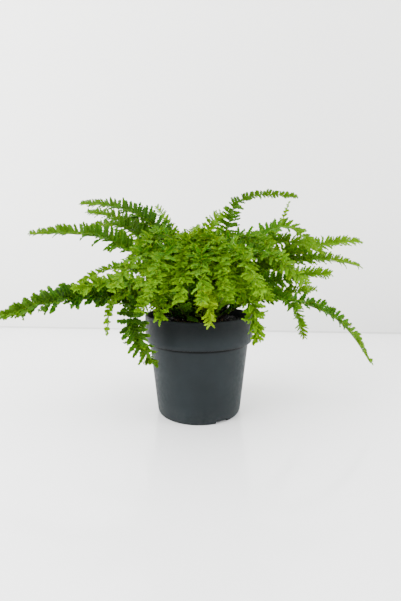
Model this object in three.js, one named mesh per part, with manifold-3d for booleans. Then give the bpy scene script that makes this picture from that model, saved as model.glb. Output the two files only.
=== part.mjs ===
// Lemon button fern growing in its 12 cm nursery pot.
// Millimetres, +Z up, origin on the table under the middle of the whole plant.
// The pot, the potting mix, the rhizome crown and every frond are solids of their own.
// Fronds are written from one table: a shoulder and a tip in polar measures about the pot's axis.
import * as THREE from 'three';
import ManifoldModule from 'manifold-3d';

// ---------------------------------------------------------------- driving dimensions, mm
const POT_HEIGHT = 110;
const POT_BASE_RADIUS = 46.8;
const POT_TOP_RADIUS = 55.2;
const COLLAR_BOTTOM = 81;
const COLLAR_RADIUS = 60;
const FLOOR_UNDERSIDE = 3.4;
const FLOOR_TOP = 5.2;
const NOTCH_AZIMUTHS = [302, 62, 182];
const NOTCH_ANGLE = 18;
const NOTCH_HEIGHT = 3;
const DRAIN_HOLES = 6;
const DRAIN_HOLE_RADIUS = 4.5;
const DRAIN_HOLE_CIRCLE = 32;
const POT_SIDES = 40;

const GAP = 0.3;
const MIX_EDGE_HEIGHT = 100.5;
const MIX_CROWN_HEIGHT = 103.5;
const CROWN_RADIUS = 30;
const CROWN_DEPTH = 12;
const CROWN_TOP_HEIGHT = 106.5;

const STIPE_DEPTH = 8;
const STIPE_WIDTH = 1.9;
const RIB_WIDTH = 1.2;
const RIB_DEPTH = 1.2;
const BLADE_THICKNESS = 0.7;
const LEAFLET_PITCH = 11;
const BACK_PITCH = 16;
const LEAFY_START = 26;
const SPREAD = 0.6;
const CLEARANCE = 0.35;

// Whorls of stipes in the crown: ring radius, and the least angle at which a stipe rises.
const WHORLS = {
  outer: { radius: 25, rise: 45 },
  middle: { radius: 19, rise: 62 },
  inner: { radius: 13, rise: 74 },
  centre: { radius: 7, rise: 82 },
};

// Each frond: name, whorl, shoulder (azimuth deg, reach, height), tip (azimuth deg, reach, height),
// longest leaflet, how far its leaflets fold up from flat (deg), how far its face is rolled
// towards the front (deg), its colour, and a knee below the shoulder where it has one.
const FRONDS = [
  ['far_left_low', 'outer', 195, 101, 132, 190, 203, 111.5, 16.5, 10, 52, 'green'],
  ['left_small_drop', 'outer', 206, 95, 127, 209, 103, 97, 6.5, 15, 30, 'lime'],
  ['left_front_drop', 'outer', 226, 87, 121, 236, 72, 68, 15, 12, 8, 'green'],
  ['left_rim', 'outer', 242, 76, 136, 248, 88, 116, 13, 12, 0, 'lime'],
  ['front_lime', 'outer', 277, 66, 136, 277, 82, 112, 10.5, 12, 0, 'lime'],
  ['right_front_drop', 'outer', 296, 92, 141, 298.5, 105, 101, 15, 12, 8, 'lime'],
  ['right_hang', 'outer', 334, 99, 128, 331, 116, 95, 9.5, 12, 45, 'lime'],
  ['right_low', 'outer', 343, 103, 136, 339, 124, 140, 12, 18, 40, 'lime'],
  ['right_long', 'outer', 1, 146, 109, 2, 198, 52, 11.5, 34, 30, 'lime'],
  ['back_right_low', 'outer', 28, 105, 128, 30, 158, 104, 12, 30, 10, 'green'],
  ['back_low_right', 'outer', 60, 90, 132, 58, 136, 108, 12, 30, 0, 'green'],
  ['back_low', 'outer', 95, 88, 130, 98, 131, 114, 12, 30, 0, 'green'],
  ['back_low_left', 'outer', 128, 90, 134, 124, 142, 117, 12, 30, 0, 'green'],
  ['back_left_low', 'outer', 160, 100, 134, 162, 156, 122, 12, 30, 20, 'green'],

  ['left_broad', 'middle', 213, 94, 148, 213, 134, 142, 14.5, 15, 35, 'lime'],
  ['left_thin', 'middle', 198, 86, 161, 201, 126, 147, 8.5, 25, 40, 'lime'],
  ['left_mid', 'middle', 162, 65, 160, 161, 107, 158, 13.5, 12, 50, 'lime'],
  ['tall', 'middle', 10, 37, 223, 11, 113, 241, 13.5, 5, 70, 'green', [9, 32, 204]],
  ['right_hump', 'middle', 356, 103, 201, 353, 123, 181, 15, 18, 40, 'lime'],
  ['right_mid', 'middle', 348, 106, 152, 347, 138, 155, 14.5, 14, 50, 'lime'],
  ['right_mid_far', 'middle', 8, 126, 170, 9, 187, 162, 13.5, 20, 42, 'lime'],
  ['front_left_mid', 'middle', 234, 72, 176, 238, 130, 145, 14.5, 15, 0, 'lime'],
  ['front_mid_left', 'middle', 252, 66, 178, 254, 134, 142, 14.5, 15, 0, 'lime'],
  ['front_mid', 'middle', 272, 64, 174, 271, 128, 138, 14.5, 15, 0, 'lime'],
  ['front_mid_right', 'middle', 293, 66, 179, 291, 134, 142, 14.5, 15, 0, 'lime'],
  ['front_right_mid', 'middle', 316, 74, 176, 315, 132, 146, 14.5, 15, 15, 'lime'],
  ['back_mid_right', 'middle', 35, 90, 160, 33, 146, 151, 12, 30, 15, 'lime'],
  ['back_mid_a', 'middle', 70, 84, 162, 73, 131, 152, 12, 30, 0, 'lime'],
  ['back_mid_b', 'middle', 105, 84, 164, 108, 132, 154, 12, 30, 0, 'green'],
  ['back_mid_left', 'middle', 138, 90, 160, 136, 146, 147, 12, 30, 15, 'lime'],

  ['front_low_left', 'middle', 240, 62, 153, 238, 98, 124, 14, 15, 0, 'lime'],
  ['front_low_right', 'middle', 307, 60, 157, 308, 104, 133, 14, 15, 0, 'lime'],

  ['left_long', 'inner', 177, 90, 187, 176, 190, 198, 16, 26, 42, 'green'],
  ['left_back', 'inner', 148, 94, 211, 152, 163, 231, 15, 20, 42, 'green'],
  ['left_fill', 'inner', 162, 90, 208, 161, 141, 208, 14.5, 16, 45, 'green'],
  ['right_high', 'inner', 9, 132, 184, 10, 193, 191, 14.5, 10, 52, 'lime'],
  ['right_fill', 'inner', 2, 95, 189, 359, 134, 177, 15, 18, 45, 'lime'],
  ['top_back_right', 'inner', 34, 85, 198, 35, 121, 204, 12.5, 25, 35, 'green'],
  ['front_high_left', 'inner', 230, 56, 194, 231, 98, 168, 14.5, 15, 10, 'lime'],
  ['front_high_a', 'inner', 257, 44, 190, 260, 88, 164, 14.5, 15, 0, 'lime'],
  ['front_high_b', 'inner', 284, 46, 192, 283, 94, 162, 14.5, 15, 0, 'lime'],
  ['front_high_right', 'inner', 320, 58, 192, 322, 104, 166, 14.5, 15, 20, 'lime'],
  ['front_inner_left', 'inner', 262, 52, 166, 262, 114, 136, 14, 15, 0, 'lime'],
  ['front_inner_right', 'inner', 282, 52, 167, 282, 115, 137, 14, 15, 0, 'lime'],
  ['back_high', 'inner', 108, 66, 196, 112, 130, 199, 12, 30, 0, 'lime'],

  ['top_saddle', 'centre', 100, 41, 198, 92, 76, 212, 14, 25, 20, 'lime'],
  ['top_left_thin', 'centre', 135, 48, 205, 132, 78, 235, 12, 25, 35, 'lime'],
  ['left_top', 'centre', 160, 78, 223, 163, 148, 236, 14.5, 22, 42, 'green'],
  ['tall_thin', 'centre', 19, 101, 209, 23, 118, 238, 6, 15, 45, 'lime'],
  ['top_broad', 'centre', 57, 38, 216, 62, 78, 224, 15, 22, 25, 'lime'],
  ['front_top', 'centre', 268, 28, 192, 266, 70, 178, 14, 20, 0, 'lime'],];

// ---------------------------------------------------------------- small helpers
const rad = (degrees) => (degrees * Math.PI) / 180;
const vec = (x, y, z) => new THREE.Vector3(x, y, z);
const polar = (azimuth, reach, height) =>
  vec(reach * Math.cos(rad(azimuth)), reach * Math.sin(rad(azimuth)), height);

function seeded(seed) {
  let state = seed >>> 0;
  return () => {
    state = (state + 0x6d2b79f5) >>> 0;
    let t = state;
    t = Math.imul(t ^ (t >>> 15), t | 1);
    t ^= t + Math.imul(t ^ (t >>> 7), t | 61);
    return ((t ^ (t >>> 14)) >>> 0) / 4294967296;
  };
}

// Height of the growing surface at a distance from the pot's axis: mix outside, crown mound inside.
function surfaceHeight(r) {
  if (r > CROWN_RADIUS) {
    const k = (r - CROWN_RADIUS) / (COLLAR_RADIUS - CROWN_RADIUS);
    return MIX_CROWN_HEIGHT + (MIX_EDGE_HEIGHT - MIX_CROWN_HEIGHT) * k;
  }
  const k = r / CROWN_RADIUS;
  return MIX_CROWN_HEIGHT + (CROWN_TOP_HEIGHT - MIX_CROWN_HEIGHT) * (1 - k * k);
}

// ---------------------------------------------------------------- turned solids
const wasm = await ManifoldModule();
wasm.setup();
const { Manifold, Mesh } = wasm;

// A closed profile of [radius, height] points, running round its solid with the axis on the left
// of no point; points of radius 0 become one vertex on the axis.
function turned(profile, sides, bump = () => 0) {
  const vertices = [];
  const triangles = [];
  const rings = profile.map(([r, z], row) => {
    if (r === 0) {
      vertices.push(0, 0, z);
      return [vertices.length / 3 - 1];
    }
    return Array.from({ length: sides }, (_, k) => {
      const a = (2 * Math.PI * (k + 0.5)) / sides;
      vertices.push(r * Math.cos(a), r * Math.sin(a), z + bump(row, k));
      return vertices.length / 3 - 1;
    });
  });
  for (let i = 0; i < rings.length; i += 1) {
    const lower = rings[i];
    const upper = rings[(i + 1) % rings.length];
    if (lower.length === 1 && upper.length === 1) continue;
    for (let k = 0; k < sides; k += 1) {
      const next = (k + 1) % sides;
      const a = lower[k % lower.length];
      const b = lower[next % lower.length];
      const c = upper[next % upper.length];
      const d = upper[k % upper.length];
      if (a !== b) triangles.push(a, b, c);
      if (c !== d) triangles.push(a, c, d);
    }
  }
  return { vertices, triangles };
}

function toManifold({ vertices, triangles }) {
  return new Manifold(new Mesh({
    numProp: 3,
    vertProperties: new Float32Array(vertices),
    triVerts: new Uint32Array(triangles),
  }));
}

function toGeometry(solid) {
  const mesh = solid.getMesh();
  const geometry = new THREE.BufferGeometry();
  const step = mesh.numProp;
  const points = [];
  for (let i = 0; i < mesh.vertProperties.length; i += step) {
    points.push(mesh.vertProperties[i], mesh.vertProperties[i + 1], mesh.vertProperties[i + 2]);
  }
  geometry.setAttribute('position', new THREE.Float32BufferAttribute(points, 3));
  geometry.setIndex(Array.from(mesh.triVerts));
  geometry.computeVertexNormals();
  return geometry;
}

// A box between two cross-sections of four points each, as a cutter.
function loft(lower, upper) {
  const vertices = [...lower, ...upper].flatMap((p) => [p.x, p.y, p.z]);
  const triangles = [0, 2, 1, 0, 3, 2, 4, 5, 6, 4, 6, 7];
  for (let k = 0; k < 4; k += 1) {
    const n = (k + 1) % 4;
    triangles.push(k, n, 4 + n, k, 4 + n, 4 + k);
  }
  return toManifold({ vertices, triangles });
}

// ---------------------------------------------------------------- pot, mix and crown
function makePot() {
  const body = toManifold(turned([
    [43.2, 0], [45.4, 0], [POT_BASE_RADIUS, 1.6], [POT_TOP_RADIUS, COLLAR_BOTTOM],
    [58.6, COLLAR_BOTTOM], [59.4, COLLAR_BOTTOM + 1], [COLLAR_RADIUS, 96], [59.7, 108.6],
    [58.8, POT_HEIGHT], [57.9, POT_HEIGHT - 0.8], [57.6, COLLAR_BOTTOM + 2.6],
    [53.9, COLLAR_BOTTOM - 1], [45.3, FLOOR_TOP], [0, FLOOR_TOP],
    [0, FLOOR_UNDERSIDE], [42.6, FLOOR_UNDERSIDE],
  ], POT_SIDES));
  const cutters = [];
  for (const azimuth of NOTCH_AZIMUTHS) {
    const half = NOTCH_ANGLE / 2;
    const corners = (z) => [
      polar(azimuth - half, 41, z), polar(azimuth - half, 50, z),
      polar(azimuth + half, 50, z), polar(azimuth + half, 41, z),
    ];
    cutters.push(loft(corners(-1), corners(NOTCH_HEIGHT)));
  }
  for (let i = 0; i < DRAIN_HOLES; i += 1) {
    const middle = polar(((i + 0.5) * 360) / DRAIN_HOLES, DRAIN_HOLE_CIRCLE, 0);
    const hole = turned([[DRAIN_HOLE_RADIUS, 0], [DRAIN_HOLE_RADIUS, 9], [0, 9], [0, 0]], 8);
    for (let k = 0; k < hole.vertices.length; k += 3) {
      hole.vertices[k] += middle.x;
      hole.vertices[k + 1] += middle.y;
    }
    cutters.push(toManifold(hole));
  }
  return cutters.reduce((solid, cutter) => solid.subtract(cutter), body);
}

const draw = seeded(20);
const MIX_SIDES = 32;
const CROWN_SIDES = 20;

function makeMix() {
  const floor = FLOOR_TOP + GAP;
  const inner = CROWN_RADIUS + GAP;
  const bottom = MIX_CROWN_HEIGHT - CROWN_DEPTH - GAP;
  const lumps = Array.from({ length: 3 * MIX_SIDES }, () => 0.9 * (draw() - 0.5));
  const profile = [
    [0, floor], [45, floor], [53.5, COLLAR_BOTTOM - 0.6], [57.2, COLLAR_BOTTOM + 2.9],
    [57.4, MIX_EDGE_HEIGHT], [50, surfaceHeight(50)], [40, surfaceHeight(40)],
    [inner, MIX_CROWN_HEIGHT], [inner - 3, bottom], [0, bottom],
  ];
  return toManifold(turned(profile, MIX_SIDES, (row, k) =>
    (row >= 4 && row <= 6 ? lumps[(row - 4) * MIX_SIDES + k] : 0)));
}

function makeCrown(stipes) {
  const rings = [22, 10];
  const lumps = Array.from({ length: rings.length * CROWN_SIDES }, () => 0.8 * (draw() - 0.5));
  const bottom = MIX_CROWN_HEIGHT - CROWN_DEPTH;
  const profile = [
    [0, bottom], [CROWN_RADIUS - 3, bottom], [CROWN_RADIUS, MIX_CROWN_HEIGHT],
    ...rings.map((r) => [r, surfaceHeight(r)]), [0, CROWN_TOP_HEIGHT],
  ];
  const mound = toManifold(turned(profile, CROWN_SIDES, (row, k) =>
    (row >= 3 && row <= 4 ? lumps[(row - 3) * CROWN_SIDES + k] : 0)));
  const holes = stipes.map(({ foot, direction, side, face }) => {
    const half = STIPE_WIDTH / 2 + GAP;
    const section = (along) => [[-1, -1], [1, -1], [1, 1], [-1, 1]].map(([u, v]) =>
      foot.clone().addScaledVector(direction, along)
        .addScaledVector(side, u * half).addScaledVector(face, v * half));
    const lower = section(-GAP);
    const upper = section(STIPE_DEPTH + 6);
    return loft(lower, upper);
  });
  return holes.reduce((solid, hole) => solid.subtract(hole), mound);
}

// ---------------------------------------------------------------- frond midribs
// Stipes of a whorl stand round its ring in the order of their shoulders' azimuths, each part of
// the way from its own azimuth to its place in an even spacing.
function rootAzimuths() {
  const found = {};
  for (const whorl of Object.keys(WHORLS)) {
    const rows = FRONDS.filter((row) => row[1] === whorl).sort((a, b) => a[2] - b[2]);
    const step = 360 / rows.length;
    const turn = rows.reduce((sum, row, i) => {
      const a = rad(row[2] - i * step);
      return [sum[0] + Math.cos(a), sum[1] + Math.sin(a)];
    }, [0, 0]);
    const first = (Math.atan2(turn[1], turn[0]) * 180) / Math.PI;
    rows.forEach((row, i) => {
      const off = ((first + i * step - row[2] + 540) % 360) - 180;
      found[row[0]] = row[2] + SPREAD * off;
    });
  }
  return found;
}

// Cubic between two points with a tangent at each.
function hermite(p, pTangent, q, qTangent, t) {
  const t2 = t * t;
  const t3 = t2 * t;
  return vec(0, 0, 0)
    .addScaledVector(p, 2 * t3 - 3 * t2 + 1)
    .addScaledVector(pTangent, t3 - 2 * t2 + t)
    .addScaledVector(q, -2 * t3 + 3 * t2)
    .addScaledVector(qTangent, t3 - t2);
}

// The midrib leaves the crown at a steep angle, passes its knee if it has one and its shoulder,
// and runs out to its tip, as cubics that share a tangent at each waypoint.
function midrib(row, rootAzimuth, turn, lift) {
  const [, whorl, sa, sr, sz, ta, tr, tz] = row;
  const { radius, rise } = WHORLS[whorl];
  const root = polar(rootAzimuth, radius, surfaceHeight(radius));
  const knees = row[12] ? [polar(row[12][0] + turn, row[12][1], row[12][2] + lift)] : [];
  const way = [root, ...knees, polar(sa + turn, sr, sz + lift), polar(ta + turn, tr, tz + lift)];
  const legs = way.slice(1).map((p, i) => p.clone().sub(way[i]));
  const runs = legs.map((leg) => leg.length());
  const flat = Math.hypot(legs[0].x, legs[0].y);
  const angle = Math.min(rad(86), Math.max(rad(rise), Math.atan2(legs[0].z, flat) + 0.04));
  const direction = vec(
    (legs[0].x / flat) * Math.cos(angle),
    (legs[0].y / flat) * Math.cos(angle),
    Math.sin(angle),
  );
  const tangents = [direction.clone().multiplyScalar(1.1)];
  for (let i = 1; i < legs.length; i += 1) {
    tangents.push(legs[i - 1].clone().multiplyScalar(runs[i] / runs[i - 1])
      .addScaledVector(legs[i], runs[i - 1] / runs[i]).normalize());
  }
  const lastRun = runs[runs.length - 1];
  tangents.push(legs[legs.length - 1].clone().multiplyScalar(1.5 / lastRun)
    .addScaledVector(tangents[tangents.length - 1], -0.5));
  const points = [root];
  legs.forEach((leg, k) => {
    for (let i = 1; i <= 40; i += 1) {
      points.push(hermite(way[k], tangents[k].clone().multiplyScalar(runs[k]),
        way[k + 1], tangents[k + 1].clone().multiplyScalar(runs[k]), i / 40));
    }
  });
  const tip = way[way.length - 1];
  return { root, direction, points, azimuth: Math.atan2(tip.y - root.y, tip.x - root.x) };
}

// Points at even distances along a polyline, from a start distance to its end.
function evenly(points, start, count) {
  const run = [0];
  for (let i = 1; i < points.length; i += 1) run.push(run[i - 1] + points[i].distanceTo(points[i - 1]));
  const total = run[run.length - 1];
  const stations = [];
  let k = 1;
  for (let i = 0; i <= count; i += 1) {
    const s = start + ((total - start) * i) / count;
    while (k < points.length - 1 && run[k] < s) k += 1;
    const f = Math.min(1, Math.max(0, (s - run[k - 1]) / (run[k] - run[k - 1])));
    stations.push(points[k - 1].clone().lerp(points[k], f));
  }
  return { stations, total };
}

// Cross-sections along a midrib: four corners each, with the local side, face and tangent.
function ribSections(path, row) {
  const { total } = evenly(path.points, 0, 1);
  const leafy = total - LEAFY_START;
  const pitch = row[0].startsWith('back') ? BACK_PITCH : LEAFLET_PITCH;
  const pairs = Math.max(6, Math.round(leafy / pitch));
  const roll = rad(row[10]) * (Math.cos(path.azimuth) < 0 ? -1 : 1);
  const lower = evenly(path.points, 0, 400).stations;
  const at = (s) => lower[Math.round((400 * s) / total)];
  const centres = [
    path.root.clone().addScaledVector(path.direction, -STIPE_DEPTH),
    path.root.clone().addScaledVector(path.direction, 2),
    at(LEAFY_START * 0.55),
    ...evenly(path.points, LEAFY_START, pairs).stations,
  ];
  const across = vec(-Math.sin(path.azimuth), Math.cos(path.azimuth), 0);
  const sections = centres.map((centre, i) => {
    const before = centres[Math.max(0, i - 1)];
    const after = centres[Math.min(centres.length - 1, i + 1)];
    const tangent = i < 2 ? path.direction.clone() : after.clone().sub(before).normalize();
    const level = across.clone().addScaledVector(tangent, -across.dot(tangent)).normalize();
    const side = level.applyAxisAngle(tangent, roll * Math.min(1, Math.max(0, (i - 1) / 4)));
    const face = tangent.clone().cross(side);
    const u = Math.max(0, i - 3) / pairs;
    const wide = (i < 3 ? STIPE_WIDTH : RIB_WIDTH + 0.4 * (1 - u)) / 2;
    const deep = (i < 3 ? STIPE_WIDTH : RIB_DEPTH + 0.3 * (1 - u)) / 2;
    const corner = (x, y) => centre.clone().addScaledVector(side, x * wide).addScaledVector(face, y * deep);
    return {
      centre, tangent, side, face,
      corners: [corner(1, 1), corner(-1, 1), corner(-1, -1), corner(1, -1)],
    };
  });
  return { sections, pairs };
}

// ---------------------------------------------------------------- keeping solids apart
function hull(points) {
  const box = new THREE.Box3().setFromPoints(points);
  const [a, b, c, d, e] = points;
  const edges = [
    b.clone().sub(a), c.clone().sub(b), d.clone().sub(c), a.clone().sub(d), c.clone().sub(a),
    e.clone().sub(a),
  ].map((v) => v.normalize());
  const normals = [];
  const pairsOf = [[0, 1], [2, 3], [4, 5], [0, 5], [1, 5], [2, 5], [3, 5]];
  for (const [i, j] of pairsOf) normals.push(edges[i].clone().cross(edges[j]));
  return { points, box, edges, normals };
}

function apart(p, q, margin) {
  const axes = [...p.normals, ...q.normals];
  for (const i of p.edges) for (const j of q.edges) axes.push(i.clone().cross(j));
  axes.push(p.box.getCenter(vec(0, 0, 0)).sub(q.box.getCenter(vec(0, 0, 0))));
  for (const axis of axes) {
    const size = axis.length();
    if (size < 1e-3) continue;
    let pLow = Infinity, pHigh = -Infinity, qLow = Infinity, qHigh = -Infinity;
    for (const v of p.points) {
      const s = v.dot(axis) / size;
      pLow = Math.min(pLow, s);
      pHigh = Math.max(pHigh, s);
    }
    for (const v of q.points) {
      const s = v.dot(axis) / size;
      qLow = Math.min(qLow, s);
      qHigh = Math.max(qHigh, s);
    }
    if (qLow - pHigh > margin || pLow - qHigh > margin) return true;
  }
  return false;
}

const CELL = 16;
const grid = new Map();
function cellsOf(box) {
  const keys = [];
  for (let x = Math.floor(box.min.x / CELL); x <= Math.floor(box.max.x / CELL); x += 1) {
    for (let y = Math.floor(box.min.y / CELL); y <= Math.floor(box.max.y / CELL); y += 1) {
      for (let z = Math.floor(box.min.z / CELL); z <= Math.floor(box.max.z / CELL); z += 1) {
        keys.push(x * 1e6 + y * 1e3 + z);
      }
    }
  }
  return keys;
}

function place(owner, solid) {
  for (const key of cellsOf(solid.box)) {
    if (!grid.has(key)) grid.set(key, []);
    grid.get(key).push({ owner, solid });
  }
}

function isClear(owner, solid, margin) {
  const reach = solid.box.clone().expandByScalar(margin);
  for (const key of cellsOf(reach)) {
    for (const other of grid.get(key) ?? []) {
      if (other.owner === owner || !reach.intersectsBox(other.solid.box)) continue;
      if (!apart(solid, other.solid, margin)) return false;
    }
  }
  return true;
}

// True where a point is in the open air: over the surface, over the rim or outside the pot.
function inTheOpen(p) {
  const r = Math.hypot(p.x, p.y);
  if (p.z > POT_HEIGHT + 1.2) return true;
  if (r > COLLAR_RADIUS + 1.2) return p.z > 20;
  return r < 56 && p.z > surfaceHeight(r) + 1.3;
}

function segmentHull(a, b) {
  return hull([...a.corners, ...b.corners]);
}

// ---------------------------------------------------------------- midribs first, then leaflets
const roots = rootAzimuths();
const tries = [];
for (const turn of [0, 3, -3, 6, -6, 9, -9, 13, -13]) {
  for (const lift of [0, 4, -4]) {
    for (const step of [0, 5, -5, 10, -10, 16, -16]) tries.push([turn, lift, step]);
  }
}

const fronds = FRONDS.map((row, owner) => {
  let chosen = null;
  for (const [turn, lift, step] of tries) {
    const path = midrib(row, roots[row[0]] + step, turn, lift);
    const { sections, pairs } = ribSections(path, row);
    const hulls = sections.slice(1).map((s, i) => segmentHull(sections[i], s));
    const open = sections.slice(2).every((s) => s.corners.every(inTheOpen));
    const far = hulls.every((h) => isClear(owner, h, 1.0));
    if (open && far) {
      chosen = { row, owner, path, sections, pairs, hulls, turn, lift };
      break;
    }
  }
  if (!chosen) throw new Error(`no clear midrib for ${row[0]}`);
  chosen.hulls.forEach((h) => place(owner, h));
  return chosen;
});

// Share of the longest leaflet at a fraction u of the leafy length.
function leafletShare(u) {
  const smooth = (x) => {
    const k = Math.min(1, Math.max(0, x));
    return k * k * (3 - 2 * k);
  };
  return (0.55 + 0.45 * smooth(u / 0.25)) * (1 - 0.52 * smooth((u - 0.48) / 0.52));
}

// One leaflet on a rib segment: its two free corners, top and bottom.
function leafletCorners(a, b, sideSign, length, fold, swing) {
  const tangent = b.centre.clone().sub(a.centre).normalize();
  const side = a.side.clone().add(b.side).normalize().multiplyScalar(sideSign);
  const face = a.face.clone().add(b.face).normalize();
  const out = side.clone().multiplyScalar(Math.cos(fold)).addScaledVector(face, Math.sin(fold));
  const up = face.clone().multiplyScalar(Math.cos(fold)).addScaledVector(side, -Math.sin(fold));
  const pitch = a.centre.distanceTo(b.centre);
  const from = sideSign > 0 ? [0, 3] : [1, 2];
  const base = a.corners[from[0]].clone().lerp(b.corners[from[0]], 0.5);
  const shoulder = base.clone().addScaledVector(out, 0.74 * length).addScaledVector(tangent, -0.36 * pitch);
  const tip = base.clone().addScaledVector(out, length).addScaledVector(tangent, (0.1 + swing) * pitch);
  const drop = (p) => p.clone().addScaledVector(up, -BLADE_THICKNESS);
  return {
    top: [a.corners[from[0]], shoulder, tip, b.corners[from[0]]],
    bottom: [a.corners[from[1]], drop(shoulder), drop(tip), b.corners[from[1]]],
  };
}

const random = seeded(7);
const foldChanges = [0, 10, -10, 20, -20, 32, -32, 46, -46];
const lengthShares = [1, 0.85, 0.7, 0.55, 0.42];
const lost = [];

for (const frond of fronds) {
  const longest = frond.row[8];
  const fold = frond.row[9];
  frond.leaflets = [];
  for (let i = 0; i < frond.pairs; i += 1) {
    const a = frond.sections[i + 3];
    const b = frond.sections[i + 4];
    const share = leafletShare((i + 0.5) / frond.pairs);
    for (const sign of [1, -1]) {
      const length = longest * share * (0.9 + 0.2 * random());
      const lean = fold + 12 * (random() - 0.5) + (i % 2 ? 5 : -5);
      const swing = 0.12 * (random() - 0.3);
      let leaflet = null;
      for (const part of lengthShares) {
        for (const change of foldChanges) {
          const angle = lean + change;
          if (angle < -25 || angle > 78) continue;
          const corners = leafletCorners(a, b, sign, length * part, rad(angle), swing);
          const solid = hull([...corners.top, ...corners.bottom]);
          const middle = corners.top[1].clone().lerp(corners.top[0], 0.5);
          const open = [...solid.points.slice(1, 3), middle].every(inTheOpen);
          if (open && isClear(frond.owner, solid, CLEARANCE)) {
            leaflet = corners;
            place(frond.owner, solid);
            break;
          }
        }
        if (leaflet) break;
      }
      if (!leaflet) lost.push(frond.row[0]);
      frond.leaflets.push(leaflet);
    }
  }
}

// ---------------------------------------------------------------- frond meshes
function frondGeometry(frond) {
  const positions = [];
  const index = [];
  const add = (p) => {
    positions.push(p.x, p.y, p.z);
    return positions.length / 3 - 1;
  };
  const quad = (a, b, c, d) => index.push(a, c, b, a, d, c);
  const ring = frond.sections.map((s) => s.corners.map(add));
  const first = ring[0];
  const last = ring[ring.length - 1];
  quad(first[0], first[1], first[2], first[3]);
  quad(last[3], last[2], last[1], last[0]);
  for (let i = 0; i < ring.length - 1; i += 1) {
    const [a, b] = [ring[i], ring[i + 1]];
    quad(a[1], a[0], b[0], b[1]);
    quad(a[3], a[2], b[2], b[3]);
    for (const sign of [1, -1]) {
      const leaflet = i < 3 ? null : frond.leaflets[(i - 3) * 2 + (sign > 0 ? 0 : 1)];
      const [t, u] = sign > 0 ? [0, 3] : [1, 2];
      const top = [a[t]];
      const bottom = [a[u]];
      if (leaflet) {
        top.push(add(leaflet.top[1]), add(leaflet.top[2]));
        bottom.push(add(leaflet.bottom[1]), add(leaflet.bottom[2]));
      }
      top.push(b[t]);
      bottom.push(b[u]);
      const face = (x, y, z) => (sign > 0 ? index.push(x, z, y) : index.push(x, y, z));
      for (let k = 1; k < top.length - 1; k += 1) {
        face(top[0], top[k], top[k + 1]);
        face(bottom[0], bottom[k + 1], bottom[k]);
      }
      for (let k = 0; k < top.length - 1; k += 1) {
        face(top[k], bottom[k], bottom[k + 1]);
        face(top[k], bottom[k + 1], top[k + 1]);
      }
    }
  }
  const geometry = new THREE.BufferGeometry();
  geometry.setAttribute('position', new THREE.Float32BufferAttribute(positions, 3));
  geometry.setIndex(index);
  geometry.computeVertexNormals();
  return geometry;
}

// ---------------------------------------------------------------- assembly
const group = new THREE.Group();
group.name = 'lemon_button_fern';

const MATERIALS = {
  pot: { color: 0x464d52, roughness: 0.55 },
  mix: { color: 0x221a14, roughness: 0.95 },
  crown: { color: 0x3a2a1a, roughness: 0.95 },
  lime: { color: 0x86b81f, roughness: 0.5 },
  green: { color: 0x4f8a1c, roughness: 0.5 },
};

function addPart(name, geometry, key) {
  const material = new THREE.MeshStandardMaterial({ ...MATERIALS[key], metalness: 0 });
  const mesh = new THREE.Mesh(geometry, material);
  mesh.name = name;
  group.add(mesh);
}

addPart('pot', toGeometry(makePot()), 'pot');
addPart('potting_mix', toGeometry(makeMix()), 'mix');
addPart('rhizome_crown', toGeometry(makeCrown(fronds.map((frond) => ({
  foot: frond.sections[0].centre,
  direction: frond.path.direction,
  side: frond.sections[0].side,
  face: frond.sections[0].face,
})))), 'crown');
for (const frond of fronds) addPart(`frond_${frond.row[0]}`, frondGeometry(frond), frond.row[11]);

export default group;
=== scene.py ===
# %% [markdown]
# # A button fern in its nursery pot
# The solids of the pot, the mix, the crown and the fronds come packed as a fixed frame.
# This lesson dresses them: it replaces each faceted solid by a finer surface worked out with
# numpy, and gives every surface a procedural material. Lengths are thought of in millimetres,
# and turned into metres only when a mesh is made.

# %% Load the frame
import bmesh
import bpy
import math
import numpy as np
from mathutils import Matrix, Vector


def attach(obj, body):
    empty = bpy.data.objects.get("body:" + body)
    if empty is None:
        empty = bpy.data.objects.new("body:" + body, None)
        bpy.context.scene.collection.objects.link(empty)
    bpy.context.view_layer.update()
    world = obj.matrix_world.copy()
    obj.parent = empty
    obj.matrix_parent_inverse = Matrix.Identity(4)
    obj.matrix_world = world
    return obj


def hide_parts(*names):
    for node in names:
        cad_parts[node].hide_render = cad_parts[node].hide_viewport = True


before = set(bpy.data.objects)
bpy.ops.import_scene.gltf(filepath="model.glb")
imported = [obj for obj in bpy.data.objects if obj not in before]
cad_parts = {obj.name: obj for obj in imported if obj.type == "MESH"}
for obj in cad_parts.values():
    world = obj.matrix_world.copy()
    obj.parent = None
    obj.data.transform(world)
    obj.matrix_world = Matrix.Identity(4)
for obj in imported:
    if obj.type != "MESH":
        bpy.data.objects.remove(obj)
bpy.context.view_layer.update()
MM = 0.001

# %% [markdown]
# ## Camera, room and light
# The plant stands on a pale glossy table against a pale wall. A long soft window on the left, a
# smaller one on the right and a broad one overhead leave hardly any shadow, as in a shop's light
# tent. The camera stands a little above the rim of the pot and looks slightly down.

# %% Camera
CAMERA_PLACE = (1.65, -394.0, 170.0)
CAMERA_PITCH = 6.6
FOCAL_PIXELS = 355.0
IMAGE_HEIGHT = 601
SENSOR_HEIGHT = 36.0

camera_data = bpy.data.cameras.new("camera")
camera_data.sensor_fit = "VERTICAL"
camera_data.sensor_height = SENSOR_HEIGHT
camera_data.lens = FOCAL_PIXELS * SENSOR_HEIGHT / IMAGE_HEIGHT
camera_data.clip_start = 0.01
camera = bpy.data.objects.new("camera", camera_data)
camera.location = [v * MM for v in CAMERA_PLACE]
camera.rotation_euler = (math.radians(90 - CAMERA_PITCH), 0, 0)
bpy.context.scene.collection.objects.link(camera)
bpy.context.scene.camera = camera
print("lens", round(camera_data.lens, 2), "mm")

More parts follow.
